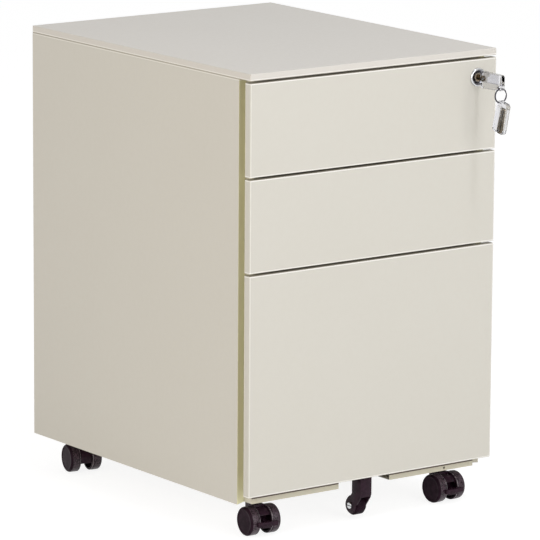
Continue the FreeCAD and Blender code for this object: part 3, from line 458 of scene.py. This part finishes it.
# Zinc plate is satin and cool, polished balls mirror the room, and cage strip is duller
zinc = plated_steel("zinc_plated_steel", "#C6CACD", "#B4B7B6", 0.32)
ball_steel = plated_steel("bright_bearing_steel", "#D8DADC", "#C9CBCD", 0.14, spangle=3.0)
cage_steel = plated_steel("pressed_cage_steel", "#B9B6A8", "#A8A596", 0.36, spangle=6.0)
dress("slide_outers", zinc)
for drawer in ("top", "middle", "bottom"):
    for member in ("inner", "middle"):
        dress(drawer + "_slide_" + member, zinc)


def slab(low, high, shell=None):
    """A rectangular shell between two corners, in metres."""
    shell = shell or bmesh.new()
    size = Vector(high) - Vector(low)
    middle = (Vector(high) + Vector(low)) / 2.0
    bmesh.ops.create_cube(shell, size=1.0,
                          matrix=Matrix.Translation(middle) @ Matrix.Diagonal((*size, 1.0)))
    return shell


def soften(shell, width, crease=30.0, segments=3):
    """Round the edges that turn by more than crease, as a press or a mould leaves them."""
    sharp = [e for e in shell.edges if e.is_manifold and e.calc_face_angle() > math.radians(crease)]
    bmesh.ops.bevel(shell, geom=sharp, offset=width * MM, segments=segments, profile=0.5, affect="EDGES",
                    clamp_overlap=True)
    return shell


def joined(*meshes):
    """Several meshes as one, keeping their materials."""
    materials = []
    shell = bmesh.new()
    for mesh in meshes:
        start = len(shell.faces)
        shell.from_mesh(mesh)
        shell.faces.ensure_lookup_table()
        for face in shell.faces[start:]:
            face.material_index += len(materials)
        materials.extend(mesh.materials)
    return as_mesh(shell, *materials)


# Ball cages. Each race of a slide has a pressed steel strip that spaces its polished steel
# balls, and the balls carry the drawer.
race_height = 2.1 * MM
race_step = 3.6 * MM
race_inset = race_height * 0.57
cage_length = 100.0 * MM
cage_leaf = 0.5 * MM
ball_radius = 1.04
ball_count = 16
ball_rings = 6
ball_profile = [(-ball_radius, 0.0)]
for ring in range(1, ball_rings):
    slope = math.pi * ring / ball_rings
    ball_profile.append((-ball_radius * math.cos(slope), ball_radius * math.sin(slope)))
ball_profile.append((ball_radius, 0.0))
ball_source = as_mesh(turned(ball_profile, (0.0, 0.0, 0.0), (0.0, 1.0, 0.0), steps=10))
for drawer in ("top", "middle", "bottom"):
    low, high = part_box(drawer + "_ball_cages")
    strips = bmesh.new()
    ball_places = []
    for side in (-1.0, 1.0):
        race_x = side * (high.x - race_inset)
        for pair, start in ((0, high.y - cage_length), (1, low.y)):
            for upper in (True, False):
                drop = pair * race_step + race_height / 2.0
                level = high.z - drop if upper else low.z + drop
                slab((race_x - cage_leaf / 2.0, start, level - race_height / 2.0),
                     (race_x + cage_leaf / 2.0, start + cage_length, level + race_height / 2.0), strips)
                for count in range(ball_count):
                    ball_places.append((race_x, start + cage_length * (count + 0.5) / ball_count, level))
    balls = copies_at(ball_places, ball_source, ball_steel)
    add_piece(drawer + "_caged_balls", joined(as_mesh(strips, cage_steel), balls), drawer + "_slide",
              [drawer + "_ball_cages"])


# Slide screws. Three pan-head screws a side, bright plated, fix each inner member to its
# drawer tray.
screw_profile = [(0.2, 0.0), (0.2, 2.9), (0.0, 3.1), (-0.35, 3.0), (-0.75, 2.2), (-0.9, 1.5), (-0.55, 1.1),
                 (-0.5, 0.0)]
screw_places_y = (22.0 * MM, 178.0 * MM, 330.0 * MM)
inner_web = 1.2 * MM
for side, name in ((-1.0, "left"), (1.0, "right")):
    screw_source = as_mesh(turned(screw_profile, (0.0, 0.0, 0.0), (-side, 0.0, 0.0), steps=24))
    for drawer in ("top", "middle", "bottom"):
        low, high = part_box(drawer + "_slide_inner")
        web_x = side * (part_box(drawer + "_drawer_box")[1].x + inner_web)
        places = [(web_x, low.y + along, (low.z + high.z) / 2.0) for along in screw_places_y]
        add_piece(drawer + "_slide_screws_" + name, copies_at(places, screw_source, ball_steel),
                  drawer + "_drawer")


# Drawers. Each front is a folded steel pan sprayed like the cabinet and closed at the back by
# a plate with a lock catch; the tray behind it is one folded sheet with its rim turned in.
for drawer in ("top", "middle", "bottom"):
    front = drawer + "_drawer_front"
    low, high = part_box(front)
    # The folds of each front are painted pale as painted highlights, and its top and bottom seams dark as painted
    # shade.
    foot_fold = ("Z", low.z + 0.7 * MM, low.z + 1.9 * MM)
    head_fold = ("Z", high.z - 1.7 * MM, high.z - 0.5 * MM)
    right_fold = ("X", high.x - 1.6 * MM, high.x - 0.5 * MM)
    left_fold = ("X", low.x + 0.5 * MM, low.x + 1.6 * MM)
    foot_seam = ("Z", low.z - 0.1 * MM, low.z + 0.3 * MM)
    head_seam = ("Z", high.z - 0.3 * MM, high.z + 0.1 * MM)
    fold_bands = [(painted_fold_highlight, 0.9, foot_fold), (painted_fold_highlight, 0.9, head_fold), (painted_fold_highlight, 0.5, right_fold),
                  (painted_fold_highlight, 0.5, left_fold), (painted_seam_shade, 0.9, foot_seam), (painted_seam_shade, 0.9, head_seam)]
    dress(front, powder_coat("powder_coat_" + front, coat_colour, coat_faded, fold_bands))
    dress(drawer + "_drawer_liner", post_coat)
    dress(drawer + "_drawer_box", post_coat)

# The rims of the two small trays, turned in and down to leave no sharp edge for the hand
rim_width = 3.0 * MM
rim_leaf = 0.8 * MM
rim_drop = 7.0 * MM
rim_start = 1.4 * MM
wall = 1.0 * MM
for drawer in ("top", "middle"):
    low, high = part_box(drawer + "_drawer_box")
    rim = bmesh.new()
    front_y = low.y + rim_start
    for side in (-1.0, 1.0):
        near = side * (high.x - wall)
        far = side * (high.x - rim_width)
        slab((min(near, far), front_y, high.z - rim_leaf), (max(near, far), high.y - wall, high.z), rim)
        lip = far + side * rim_leaf
        slab((min(lip, far), front_y, high.z - rim_drop),
             (max(lip, far), high.y - rim_width, high.z - rim_leaf), rim)
    slab((low.x + rim_width, high.y - rim_width, high.z - rim_leaf),
         (high.x - rim_width, high.y - wall, high.z), rim)
    slab((low.x + rim_width, high.y - rim_width, high.z - rim_drop),
         (high.x - rim_width, high.y - rim_width + rim_leaf, high.z - rim_leaf), rim)
    add_piece(drawer + "_drawer_rim", as_mesh(soften(rim, 0.25), post_coat), drawer + "_drawer")


# Bumpers. Four buttons of soft grey rubber, moulded and pressed into the back of each front,
# land on the cabinet's posts when the drawer shuts. They are matt, with an even fine grain.
gloss_change = 0.06


def moulded(name, colour, faded, roughness, grain, depth, gleam=0.5, mark_size=6.0):
    """Moulded plastic or rubber: grain from the mould, of a size and depth in mm and drawn
    coarser than it is so that it shows, and marks of mark_size mm in colour and gloss."""
    material = new_material(name)
    tree = material.node_tree
    place = add_node(tree, "ShaderNodeTexCoord", {}).outputs["Object"]
    grains = add_node(tree, "ShaderNodeTexNoise", {"Vector": place, "Scale": 1.0 / (grain * MM), "Detail": 3.0})
    bump = add_node(tree, "ShaderNodeBump",
                    {"Height": grains.outputs[0], "Distance": depth * MM, "Strength": 0.8})
    marks = add_node(tree, "ShaderNodeTexNoise",
                     {"Vector": place, "Scale": 1.0 / (mark_size * MM), "Detail": 4.0})
    share = add_node(tree, "ShaderNodeMapRange", {0: marks.outputs[0], 1: 0.4, 2: 0.6, 3: 0.0, 4: 1.0})
    tint = add_node(tree, "ShaderNodeMix", {0: share.outputs[0], 6: linear(colour), 7: linear(faded)},
                    data_type="RGBA").outputs[2]
    gloss = add_node(tree, "ShaderNodeMapRange",
                     {0: marks.outputs[0], 1: 0.3, 2: 0.7, 3: roughness - gloss_change,
                      4: roughness + gloss_change})
    plastic = add_node(tree, "ShaderNodeBsdfPrincipled",
                       {"Base Color": tint, "Roughness": gloss.outputs[0], "IOR": 1.5,
                        "Specular IOR Level": gleam, "Normal": bump.outputs[0]})
    add_node(tree, "ShaderNodeOutputMaterial", {"Surface": plastic.outputs[0]})
    return material


bumper_rubber = moulded("grey_rubber", "#8D8A84", "#85827C", 0.6, 0.5, 0.02)
bumper_height = 4.2
bumper_profile = [(-0.2, 0.0), (-0.2, 3.0), (0.4, 3.0), (bumper_height - 0.8, 2.5), (bumper_height - 0.2, 2.0),
                  (bumper_height, 1.3), (bumper_height, 0.0)]
bumper_source = as_mesh(turned(bumper_profile, (0.0, 0.0, 0.0), (0.0, 1.0, 0.0), steps=24))
post_middle_x = side_high.x - 19.8 * MM
bumper_from_foot = 9.0 * MM
bumper_from_head = 4.6 * MM
for drawer in ("top", "middle", "bottom"):
    low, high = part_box(drawer + "_drawer_front")
    places = [(side, high.y, level) for side in (-post_middle_x, post_middle_x)
              for level in (low.z + bumper_from_foot, high.z - bumper_from_head)]
    add_piece(drawer + "_drawer_bumpers", copies_at(places, bumper_source, bumper_rubber), drawer + "_drawer")


# Hanging file rails. Dark PVC, extruded and clipped over the side walls of the file drawer.
# It is matt and nearly black, with a fine even grain.
rail_plastic = moulded("dark_extruded_pvc", "#2C2B2A", "#252423", 0.5, 0.9, 0.03)
dress("hanging_file_rails", rail_plastic)


# Lock. A zinc casting in bright chrome: a round bezel, dished towards the plug, with a threaded
# barrel behind it, and a satin plug whose keyway stands upright. The dish is painted dark with
# pale patches, as painted shade and painted reflection. The nut holds it in the drawer front.
# The nut, the cam and the lock bar are zinc plated.
chrome = plated_steel("bright_chrome", "#D9DADC", "#CFD0D2", 0.09, line_depth=0.002, spangle=5.0)
dish_painted_shade_and_reflection = plated_steel("chrome_dish_painted_shade_and_reflection", "#8F8D92", "#0E0D0F", 0.12, line_depth=0.002, spangle=3.0)
plug_metal = plated_steel("satin_nickel_casting", "#B5A795", "#9C8E7C", 0.3, spangle=2.0)
lock_low, lock_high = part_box("lock_barrel")
lock_x = (lock_low.x + lock_high.x) / 2.0
lock_z = (lock_low.z + lock_high.z) / 2.0
bezel_profile = [(5.0, 9.0), (0.0, 9.0), (0.0, 11.9), (-0.4, 12.2), (-1.3, 12.15), (-2.2, 11.8), (-2.8, 11.2),
                 (-3.0, 10.5), (-2.9, 9.9), (-2.5, 9.2), (-1.7, 8.3), (-0.9, 7.6), (-0.4, 7.2), (-0.2, 6.7),
                 (-0.25, 6.3), (-1.2, 6.2), (-1.45, 6.05), (-1.45, 5.75), (-1.2, 5.58), (24.0, 5.58), (24.0, 8.2)]
thread_start, thread_end, thread_pitch = 22.8, 12.0, 1.2
thread = []
travel = thread_start
while travel > thread_end:
    thread.extend([(travel, 8.95), (travel - thread_pitch / 2.0, 8.4)])
    travel -= thread_pitch
barrel_profile = bezel_profile + thread + [(thread_end - 0.4, 9.0)]
barrel = turned(barrel_profile, (lock_x, front_plane, lock_z), (0.0, 1.0, 0.0), steps=96)
# Faces in the dish get the chrome painted dark, as painted shade and painted reflection.
dish_radius = 9.6 * MM
for face in barrel.faces:
    middle = face.calc_center_median()
    dished = middle.y < front_plane and math.hypot(middle.x - lock_x, middle.z - lock_z) < dish_radius
    face.material_index = 1 if dished else 0
add_piece("lock_bezel_and_barrel", as_mesh(barrel, chrome, dish_painted_shade_and_reflection, crease=50.0), "top_drawer",
          ["lock_barrel"])
dress("lock_nut", zinc)


same_point = 0.002 * MM
same_plane = math.radians(0.5)


def rounded_copy(node, width, segments=2):
    """A copy of a CAD solid with its edges rounded as a press or a mould leaves them."""
    shell = bmesh.new()
    shell.from_mesh(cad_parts[node].data)
    bmesh.ops.remove_doubles(shell, verts=shell.verts, dist=same_point)
    bmesh.ops.dissolve_limit(shell, angle_limit=same_plane, verts=shell.verts, edges=shell.edges)
    return soften(shell, width, segments=segments)


add_piece("lock_plug_with_keyway", as_mesh(rounded_copy("lock_plug", 0.25), plug_metal), "lock_core",
          ["lock_plug"])
add_piece("lock_cam_plate", as_mesh(rounded_copy("lock_cam", 0.3), zinc), "lock_core", ["lock_cam"])
for node in ("lock_bar", "lock_bar_pins"):
    dress(node, zinc)


# Keys. Nickel-plated brass blades, worn dull and brown, fold into clear moulded styrene heads
# on a steel pin. The clear plastic is tinted almost white in the middle, and grey towards its edges
# as painted shade that grows where the surface turns away from the eye.
def carved(shell, *cutters):
    """A shell with other shells cut out of it."""
    block = bpy.data.objects.new("block", as_mesh(shell))
    bpy.context.scene.collection.objects.link(block)
    tools = []
    for cutter in cutters:
        tool = bpy.data.objects.new("cutter", as_mesh(cutter))
        bpy.context.scene.collection.objects.link(tool)
        tools.append(tool)
        step = block.modifiers.new("cut", "BOOLEAN")
        step.operation = "DIFFERENCE"
        step.solver = "EXACT"
        step.object = tool
    bpy.context.view_layer.update()
    made = bpy.data.meshes.new_from_object(block.evaluated_get(bpy.context.evaluated_depsgraph_get()))
    block.modifiers.clear()
    for thing in [block] + tools:
        bpy.data.objects.remove(thing)
    result = bmesh.new()
    result.from_mesh(made)
    return result


def plate(outline, low_x, high_x):
    """A plate lying in Y and Z, its outline in mm, between two places along X in mm."""
    shell = bmesh.new()
    low = [shell.verts.new((low_x * MM, y * MM, z * MM)) for y, z in outline]
    high = [shell.verts.new((high_x * MM, y * MM, z * MM)) for y, z in outline]
    shell.faces.new(low)
    shell.faces.new(high)
    for index in range(len(outline)):
        after = (index + 1) % len(outline)
        shell.faces.new((low[index], low[after], high[after], high[index]))
    bmesh.ops.recalc_face_normals(shell, faces=shell.faces)
    return shell


def round_corners(points, radius, steps=7):
    """An outline with each of its convex corners turned into an arc."""
    outline = []
    for index, corner in enumerate(points):
        here = Vector(corner)
        back = (Vector(points[index - 1]) - here).normalized()
        ahead = (Vector(points[(index + 1) % len(points)]) - here).normalized()
        half_turn = back.angle(ahead) / 2.0
        centre = here + (back + ahead).normalized() * radius / math.sin(half_turn)
        start = here + back * radius / math.tan(half_turn) - centre
        end = here + ahead * radius / math.tan(half_turn) - centre
        for step in range(steps + 1):
            outline.append(centre + start.normalized().slerp(end.normalized(), step / steps) * radius)
    return [(point.x, point.y) for point in outline]


clear = new_material("clear_moulded_styrene")
clear_tree = clear.node_tree
clear_place = add_node(clear_tree, "ShaderNodeTexCoord", {}).outputs["Object"]
flow_size = 5.0 * MM
flow_depth = 0.05 * MM
flow = add_node(clear_tree, "ShaderNodeTexNoise",
                {"Vector": clear_place, "Scale": 1.0 / flow_size, "Detail": 2.0})
flow_bump = add_node(clear_tree, "ShaderNodeBump",
                     {"Height": flow.outputs[0], "Distance": flow_depth, "Strength": 0.5})
clear_tint = add_node(clear_tree, "ShaderNodeMix",
                      {0: flow.outputs[0], 6: linear("#FBFBFC"), 7: linear("#F0F0F3")}, data_type="RGBA")
# The grey at grazing angles is painted shade at the edges of the clear heads.
grazing = add_node(clear_tree, "ShaderNodeLayerWeight", {"Blend": 0.35, "Normal": flow_bump.outputs[0]})
clear_painted_edge_shade = add_node(clear_tree, "ShaderNodeMix",
                      {0: grazing.outputs["Facing"], 6: clear_tint.outputs[2], 7: linear("#77757B")},
                      data_type="RGBA")
clear_body = add_node(clear_tree, "ShaderNodeBsdfPrincipled",
                      {"Base Color": clear_painted_edge_shade.outputs[2], "Roughness": 0.03, "IOR": 1.3,
                       "Transmission Weight": 1.0, "Normal": flow_bump.outputs[0]})
add_node(clear_tree, "ShaderNodeOutputMaterial", {"Surface": clear_body.outputs[0]})

key_nickel = plated_steel("worn_nickel_brass", "#887962", "#463C2E", 0.3, spangle=2.5)
# Painted shade: the floors of the key grooves and the bolt's slot are painted near black.
painted_groove_shade = moulded("painted_shade_in_grooves_and_slots", "#17130E", "#221C14", 0.7, 0.5, 0.02, 0.2)
# The two key shells, measured from the pivot in mm: Y runs towards the tip of the opened
# blade, Z up. The head has a hole for the ring and a slot that the blade folds into.
head_start, head_end, head_half_thick, head_corner = 3.5, -38.0, 3.5, 4.0
ring_hole_y, ring_hole_z, ring_hole_radius = -34.0, -7.9, 2.7
slot_start, slot_end, slot_floor, slot_half_wide = 8.0, -32.0, -4.2, 1.4
beyond_head = 5.0
above_head = 16.0
head_outline = round_corners([(head_start, -12.4), (head_start, 9.6), (head_end, 8.85), (head_end, -11.65)],
                             head_corner)
head_shell = soften(plate(head_outline, -head_half_thick, head_half_thick), 1.1, 60.0, 4)
ring_hole_profile = [(-beyond_head, 0.0), (-beyond_head, ring_hole_radius), (beyond_head, ring_hole_radius),
                     (beyond_head, 0.0)]
ring_hole = turned(ring_hole_profile, (0.0, ring_hole_y * MM, ring_hole_z * MM), (1.0, 0.0, 0.0), 32)
blade_slot = slab((-slot_half_wide * MM, slot_end * MM, slot_floor * MM),
                  (slot_half_wide * MM, slot_start * MM, above_head * MM))
key_head_shell = soften(carved(head_shell, ring_hole, blade_slot), 0.18, 50.0, 2)

blade_half = 3.7
blade_half_thick = 1.1
blade_shoulder = 28.8
blade_end = 31.0
tooth_depths = (1.2, 2.0, 0.8, 1.6)
tooth_pitch, tooth_flank = 3.0, 1.05
blade_outline = [(blade_half * math.cos(math.radians(angle)), blade_half * math.sin(math.radians(angle)))
                 for angle in range(90, 271, 10)]
blade_outline += [(blade_shoulder, -blade_half), (blade_end, -1.5), (blade_end, 1.5), (blade_shoulder, blade_half)]
for index in range(len(tooth_depths) - 1, -1, -1):
    start = blade_shoulder - tooth_pitch * (len(tooth_depths) - index)
    depth = blade_half - tooth_depths[index]
    blade_outline += [(start + tooth_pitch - tooth_flank, depth), (start + tooth_flank, depth)]
    if index:
        blade_outline.append((start, blade_half))
blade_outline.append((blade_shoulder - tooth_pitch * len(tooth_depths), blade_half))
groove_start, groove_end = 6.0 * MM, 33.0 * MM
groove_foot, groove_head = -2.4 * MM, -0.6 * MM
groove_left = slab((-1.6 * MM, groove_start, groove_foot), (-0.55 * MM, groove_end, groove_head))
groove_right = slab((0.6 * MM, groove_start, groove_foot), (1.6 * MM, groove_end, groove_head))
bore_profile = [(-3.0, 0.0), (-3.0, 1.56), (3.0, 1.56), (3.0, 0.0)]
pin_bore = turned(bore_profile, (0.0, 0.0, 0.0), (1.0, 0.0, 0.0), 28)
blade_blank = plate(blade_outline, -blade_half_thick, blade_half_thick)
blade_shell = soften(carved(blade_blank, groove_left, groove_right, pin_bore), 0.12, 40.0, 2)
# Faces on the groove floors get the painted shade.
groove_face = 0.8 * MM
for face in blade_shell.faces:
    sunk = abs(face.calc_center_median().x) < groove_face and abs(face.normal.x) > 0.9
    face.material_index = 1 if sunk else 0
pin_profile = [(-3.5, 0.0), (-3.5, 1.2), (-3.2, 1.5), (3.2, 1.5), (3.5, 1.2), (3.5, 0.0)]
pin_shell = turned(pin_profile, (0.0, 0.0, 0.0), (1.0, 0.0, 0.0), 28)


def placed(shell, matrix):
    """A copy of a shell moved to its place."""
    copy = shell.copy()
    copy.transform(matrix)
    return copy


# One key stands in the lock. The spare hangs from the ring, a little off the upright, with
# its blade folded.
spare_lean = math.radians(-90.0 + 14.0)
key_ahead = 14.0 * MM
spare_ahead, spare_below = 47.44 * MM, 62.60 * MM
key_place = Matrix.Translation((lock_x, front_plane - key_ahead, lock_z))
spare_pivot = Vector((lock_x, front_plane - spare_ahead, lock_z - spare_below))
stand_up = Matrix.Translation(spare_pivot) @ Matrix.Rotation(spare_lean, 4, "X")
spare_place = stand_up @ Matrix.Rotation(math.pi, 4, "Y")
folded_place = stand_up @ Matrix.Rotation(math.pi, 4, "Y") @ Matrix.Rotation(math.pi, 4, "X")
for name, head_at, blade_at, head_node, blade_node in (
    ("key", key_place, key_place, "key_head", "key_blade"),
    ("spare_key", spare_place, folded_place, "spare_key_head", "spare_key_blade"),
):
    add_piece(name + "_clear_head", as_mesh(placed(key_head_shell, head_at), clear), head_node,
              [head_node])
    add_piece(name + "_notched_blade", as_mesh(placed(blade_shell, blade_at), key_nickel, painted_groove_shade),
              blade_node, [blade_node])
    add_piece(name + "_hinge_pin", as_mesh(placed(pin_shell, head_at), ball_steel), head_node)


# Key ring. Flat spring steel wire, nickel plated, wound nearly two turns round and pinched
# together, so that its two edges lie side by side. It is polished, and its metal is painted almost
# black as a painted reflection of dark surroundings.
ring_painted_dark_reflection = plated_steel("nickel_spring_wire_painted_dark", "#626066", "#1E1C20", 0.12, spangle=2.0)
ring_low, ring_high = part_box("key_ring")
ring_middle = (ring_low + ring_high) / 2.0
ring_radius = 9.1 * MM
wire_half = 0.43 * MM
wire_reach = 0.84 * MM
coil_turns = 1.9
coil_points = 150
coil_start = math.radians(35.0)
step_over, step_share = 0.42, 0.16
wire_steps = 10
ring_shell = bmesh.new()
sections = []
for index in range(coil_points):
    share = index / (coil_points - 1)
    angle = 2.0 * math.pi * coil_turns * share + coil_start
    settle = 0.5 - 0.5 * math.cos(math.pi * min(1.0, max(0.0, (share - step_over) / step_share)))
    offset = (2.0 * settle - 1.0) * wire_half * 1.02
    outward = Vector((math.cos(angle), 0.0, math.sin(angle)))
    section = []
    for step in range(wire_steps):
        round_wire = 2.0 * math.pi * step / wire_steps
        reach = ring_radius + wire_reach * math.cos(round_wire)
        section.append(ring_shell.verts.new(ring_middle + outward * reach
                                            + Vector((0.0, offset + wire_half * math.sin(round_wire), 0.0))))
    sections.append(section)
for first, second in zip(sections, sections[1:]):
    for step in range(wire_steps):
        after = (step + 1) % wire_steps
        ring_shell.faces.new((first[step], first[after], second[after], second[step]))
ring_shell.faces.new(sections[0])
ring_shell.faces.new(sections[-1])
bmesh.ops.recalc_face_normals(ring_shell, faces=ring_shell.faces)
add_piece("split_key_ring", as_mesh(ring_shell, ring_painted_dark_reflection, crease=60.0), "key_ring", ["key_ring"])


# Casters. Twin-wheel casters moulded in black nylon with a purple cast: satin hoods, smooth wheel
# faces, a tread with a pale mottle painted on as painted glints, and an inner rim bead painted
# pale as a painted highlight. Their oxide-blacked steel stems are pressed up into the base.
hood_nylon = moulded("black_nylon_hood", "#34202D", "#2A1924", 0.24, 0.7, 0.012, 0.12)
face_nylon = moulded("black_nylon_wheel_face", "#2C1C27", "#24161F", 0.34, 1.2, 0.01, 0.04)
# The tread's pale mottle is painted glints.
tread_painted_glints = moulded("black_nylon_tread_painted_glints", "#5A4853", "#180D14", 0.3, 1.1, 0.2, 0.3, 1.8)
# The inner rim bead is painted pale as a painted highlight.
rim_bead_painted_highlight = moulded("black_nylon_rim_bead_painted_highlight", "#8C8188", "#2A1D26", 0.26, 0.9, 0.05, 0.5, 1.4)
black_oxide = plated_steel("black_oxide_steel", "#2A2629", "#201D1F", 0.4)
dress("caster_stems", black_oxide)
wheel_radius = 18.9
wheel_width = 14.2
wheel_inner = 8.3
wheel_trail = 12.8 * MM
stem_x = 149.0 * MM
stem_front_y = front_plane + 52.8 * MM
stem_rear_y = front_plane + 457.0 * MM
wheel_profile = [
    (12.2, 0.0), (12.2, 2.56), (0.0, 2.56), (0.0, 5.4), (0.4, 5.8), (5.0, 6.2), (6.0, 7.0), (6.0, 14.2),
    (5.0, 15.0), (0.3, 15.9), (0.0, 16.3), (0.0, 17.4), (0.35, 18.2), (1.0, 18.75), (1.7, 18.8), (2.1, 18.45),
    (2.4, 18.4), (2.8, 18.75), (3.6, 18.9), (wheel_width - 3.6, 18.9), (wheel_width - 2.4, 18.75),
    (wheel_width - 1.3, 18.2), (wheel_width - 0.6, 17.5), (wheel_width - 0.15, 16.7), (wheel_width, 16.0),
    (wheel_width, 15.65), (wheel_width - 0.35, 15.4), (wheel_width - 0.5, 15.1), (wheel_width - 0.42, 12.0),
    (wheel_width - 0.3, 6.0), (wheel_width - 0.28, 0.0),
]
tread_start, tread_end, tread_out = 2.6, wheel_width - 2.0, 18.0
bead_start, bead_end, bead_out = 0.3, 1.9, 17.8
for place, side_x, stem_y, swivel in (
    ("front_left", -stem_x, stem_front_y, -3.0),
    ("front_right", stem_x, stem_front_y, 3.0),
    ("rear_left", -stem_x, stem_rear_y, -10.0),
    ("rear_right", stem_x, stem_rear_y, 22.0),
):
    swing = Matrix.Rotation(math.radians(swivel), 3, "Z")
    axle_middle = Vector((side_x, stem_y, wheel_radius * MM)) + swing @ Vector((0.0, -wheel_trail, 0.0))
    for side, name in ((-1.0, "left"), (1.0, "right")):
        outward = swing @ Vector((side, 0.0, 0.0))
        start = axle_middle + outward * wheel_inner * MM
        wheel = turned(wheel_profile, start, outward, steps=96)
        for face in wheel.faces:
            travel = (face.calc_center_median() - start).dot(outward) / MM
            out = (face.calc_center_median() - start - outward * travel * MM).length / MM
            # Faces on the tread get the painted glints, and faces on the bead the painted highlight.
            if out > tread_out and tread_start < travel < tread_end:
                face.material_index = 1
            elif out > bead_out and bead_start < travel < bead_end:
                face.material_index = 2
        node = "caster_wheel_" + name + "_" + place
        add_piece(node + "_moulding", as_mesh(wheel, face_nylon, tread_painted_glints, rim_bead_painted_highlight), node,
                  [node])
    housing = "caster_housing_" + place
    add_piece(housing + "_moulding", as_mesh(rounded_copy(housing, 0.45), hood_nylon), "caster_" + place,
              [housing])
    dress("caster_axle_" + place, zinc)
    if place.startswith("front"):
        lever = "brake_lever_" + place
        add_piece(lever + "_pedal", as_mesh(rounded_copy(lever, 0.6, 3), hood_nylon), lever,
                  [lever])


# Fifth wheel. A small nylon wheel in a moulded fork under the file drawer, which stops the
# cabinet tipping when that drawer is out. Its axle bolt has a slotted dome head.
add_piece("fifth_wheel_fork", as_mesh(rounded_copy("fifth_wheel_bracket", 0.6, 3), hood_nylon),
          "bottom_drawer", ["fifth_wheel_bracket"])
fifth_low, fifth_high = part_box("fifth_wheel")
fifth_centre = (fifth_low + fifth_high) / 2.0
fifth_profile = [
    (-6.6, 2.56), (-6.6, 4.6), (-6.3, 4.9), (-5.8, 5.2), (-5.8, 9.6), (-6.3, 10.0), (-6.6, 10.4), (-6.6, 11.9),
    (-6.3, 12.6), (-5.6, 12.95), (-1.6, 13.0), (-1.3, 12.7), (-0.9, 12.7), (-0.6, 13.0), (0.6, 13.0), (0.9, 12.7),
    (1.3, 12.7), (1.6, 13.0), (5.6, 12.95), (6.3, 12.6), (6.6, 11.9), (6.6, 10.4), (6.3, 10.0), (5.8, 9.6),
    (5.8, 5.2), (6.3, 4.9), (6.6, 4.6), (6.6, 2.56),
]
fifth = turned(fifth_profile, fifth_centre, (1.0, 0.0, 0.0), steps=80)
add_piece("fifth_wheel_roller", as_mesh(fifth, face_nylon), "fifth_wheel", ["fifth_wheel"])
bolt = rounded_copy("fifth_wheel_bolt", 0.15)
head_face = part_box("fifth_wheel_bolt")[0].x
slot_near, slot_far, slot_half = 0.4 * MM, 1.0 * MM, 0.6 * MM
# Faces in the head's slot get the painted shade.
for face in bolt.faces:
    middle = face.calc_center_median()
    in_slot = slot_near < middle.x - head_face < slot_far and abs(middle.z - fifth_centre.z) < slot_half
    face.material_index = 1 if in_slot else 0
add_piece("fifth_wheel_axle_bolt", as_mesh(bolt, ball_steel, painted_groove_shade), "bottom_drawer",
          ["fifth_wheel_bolt"])
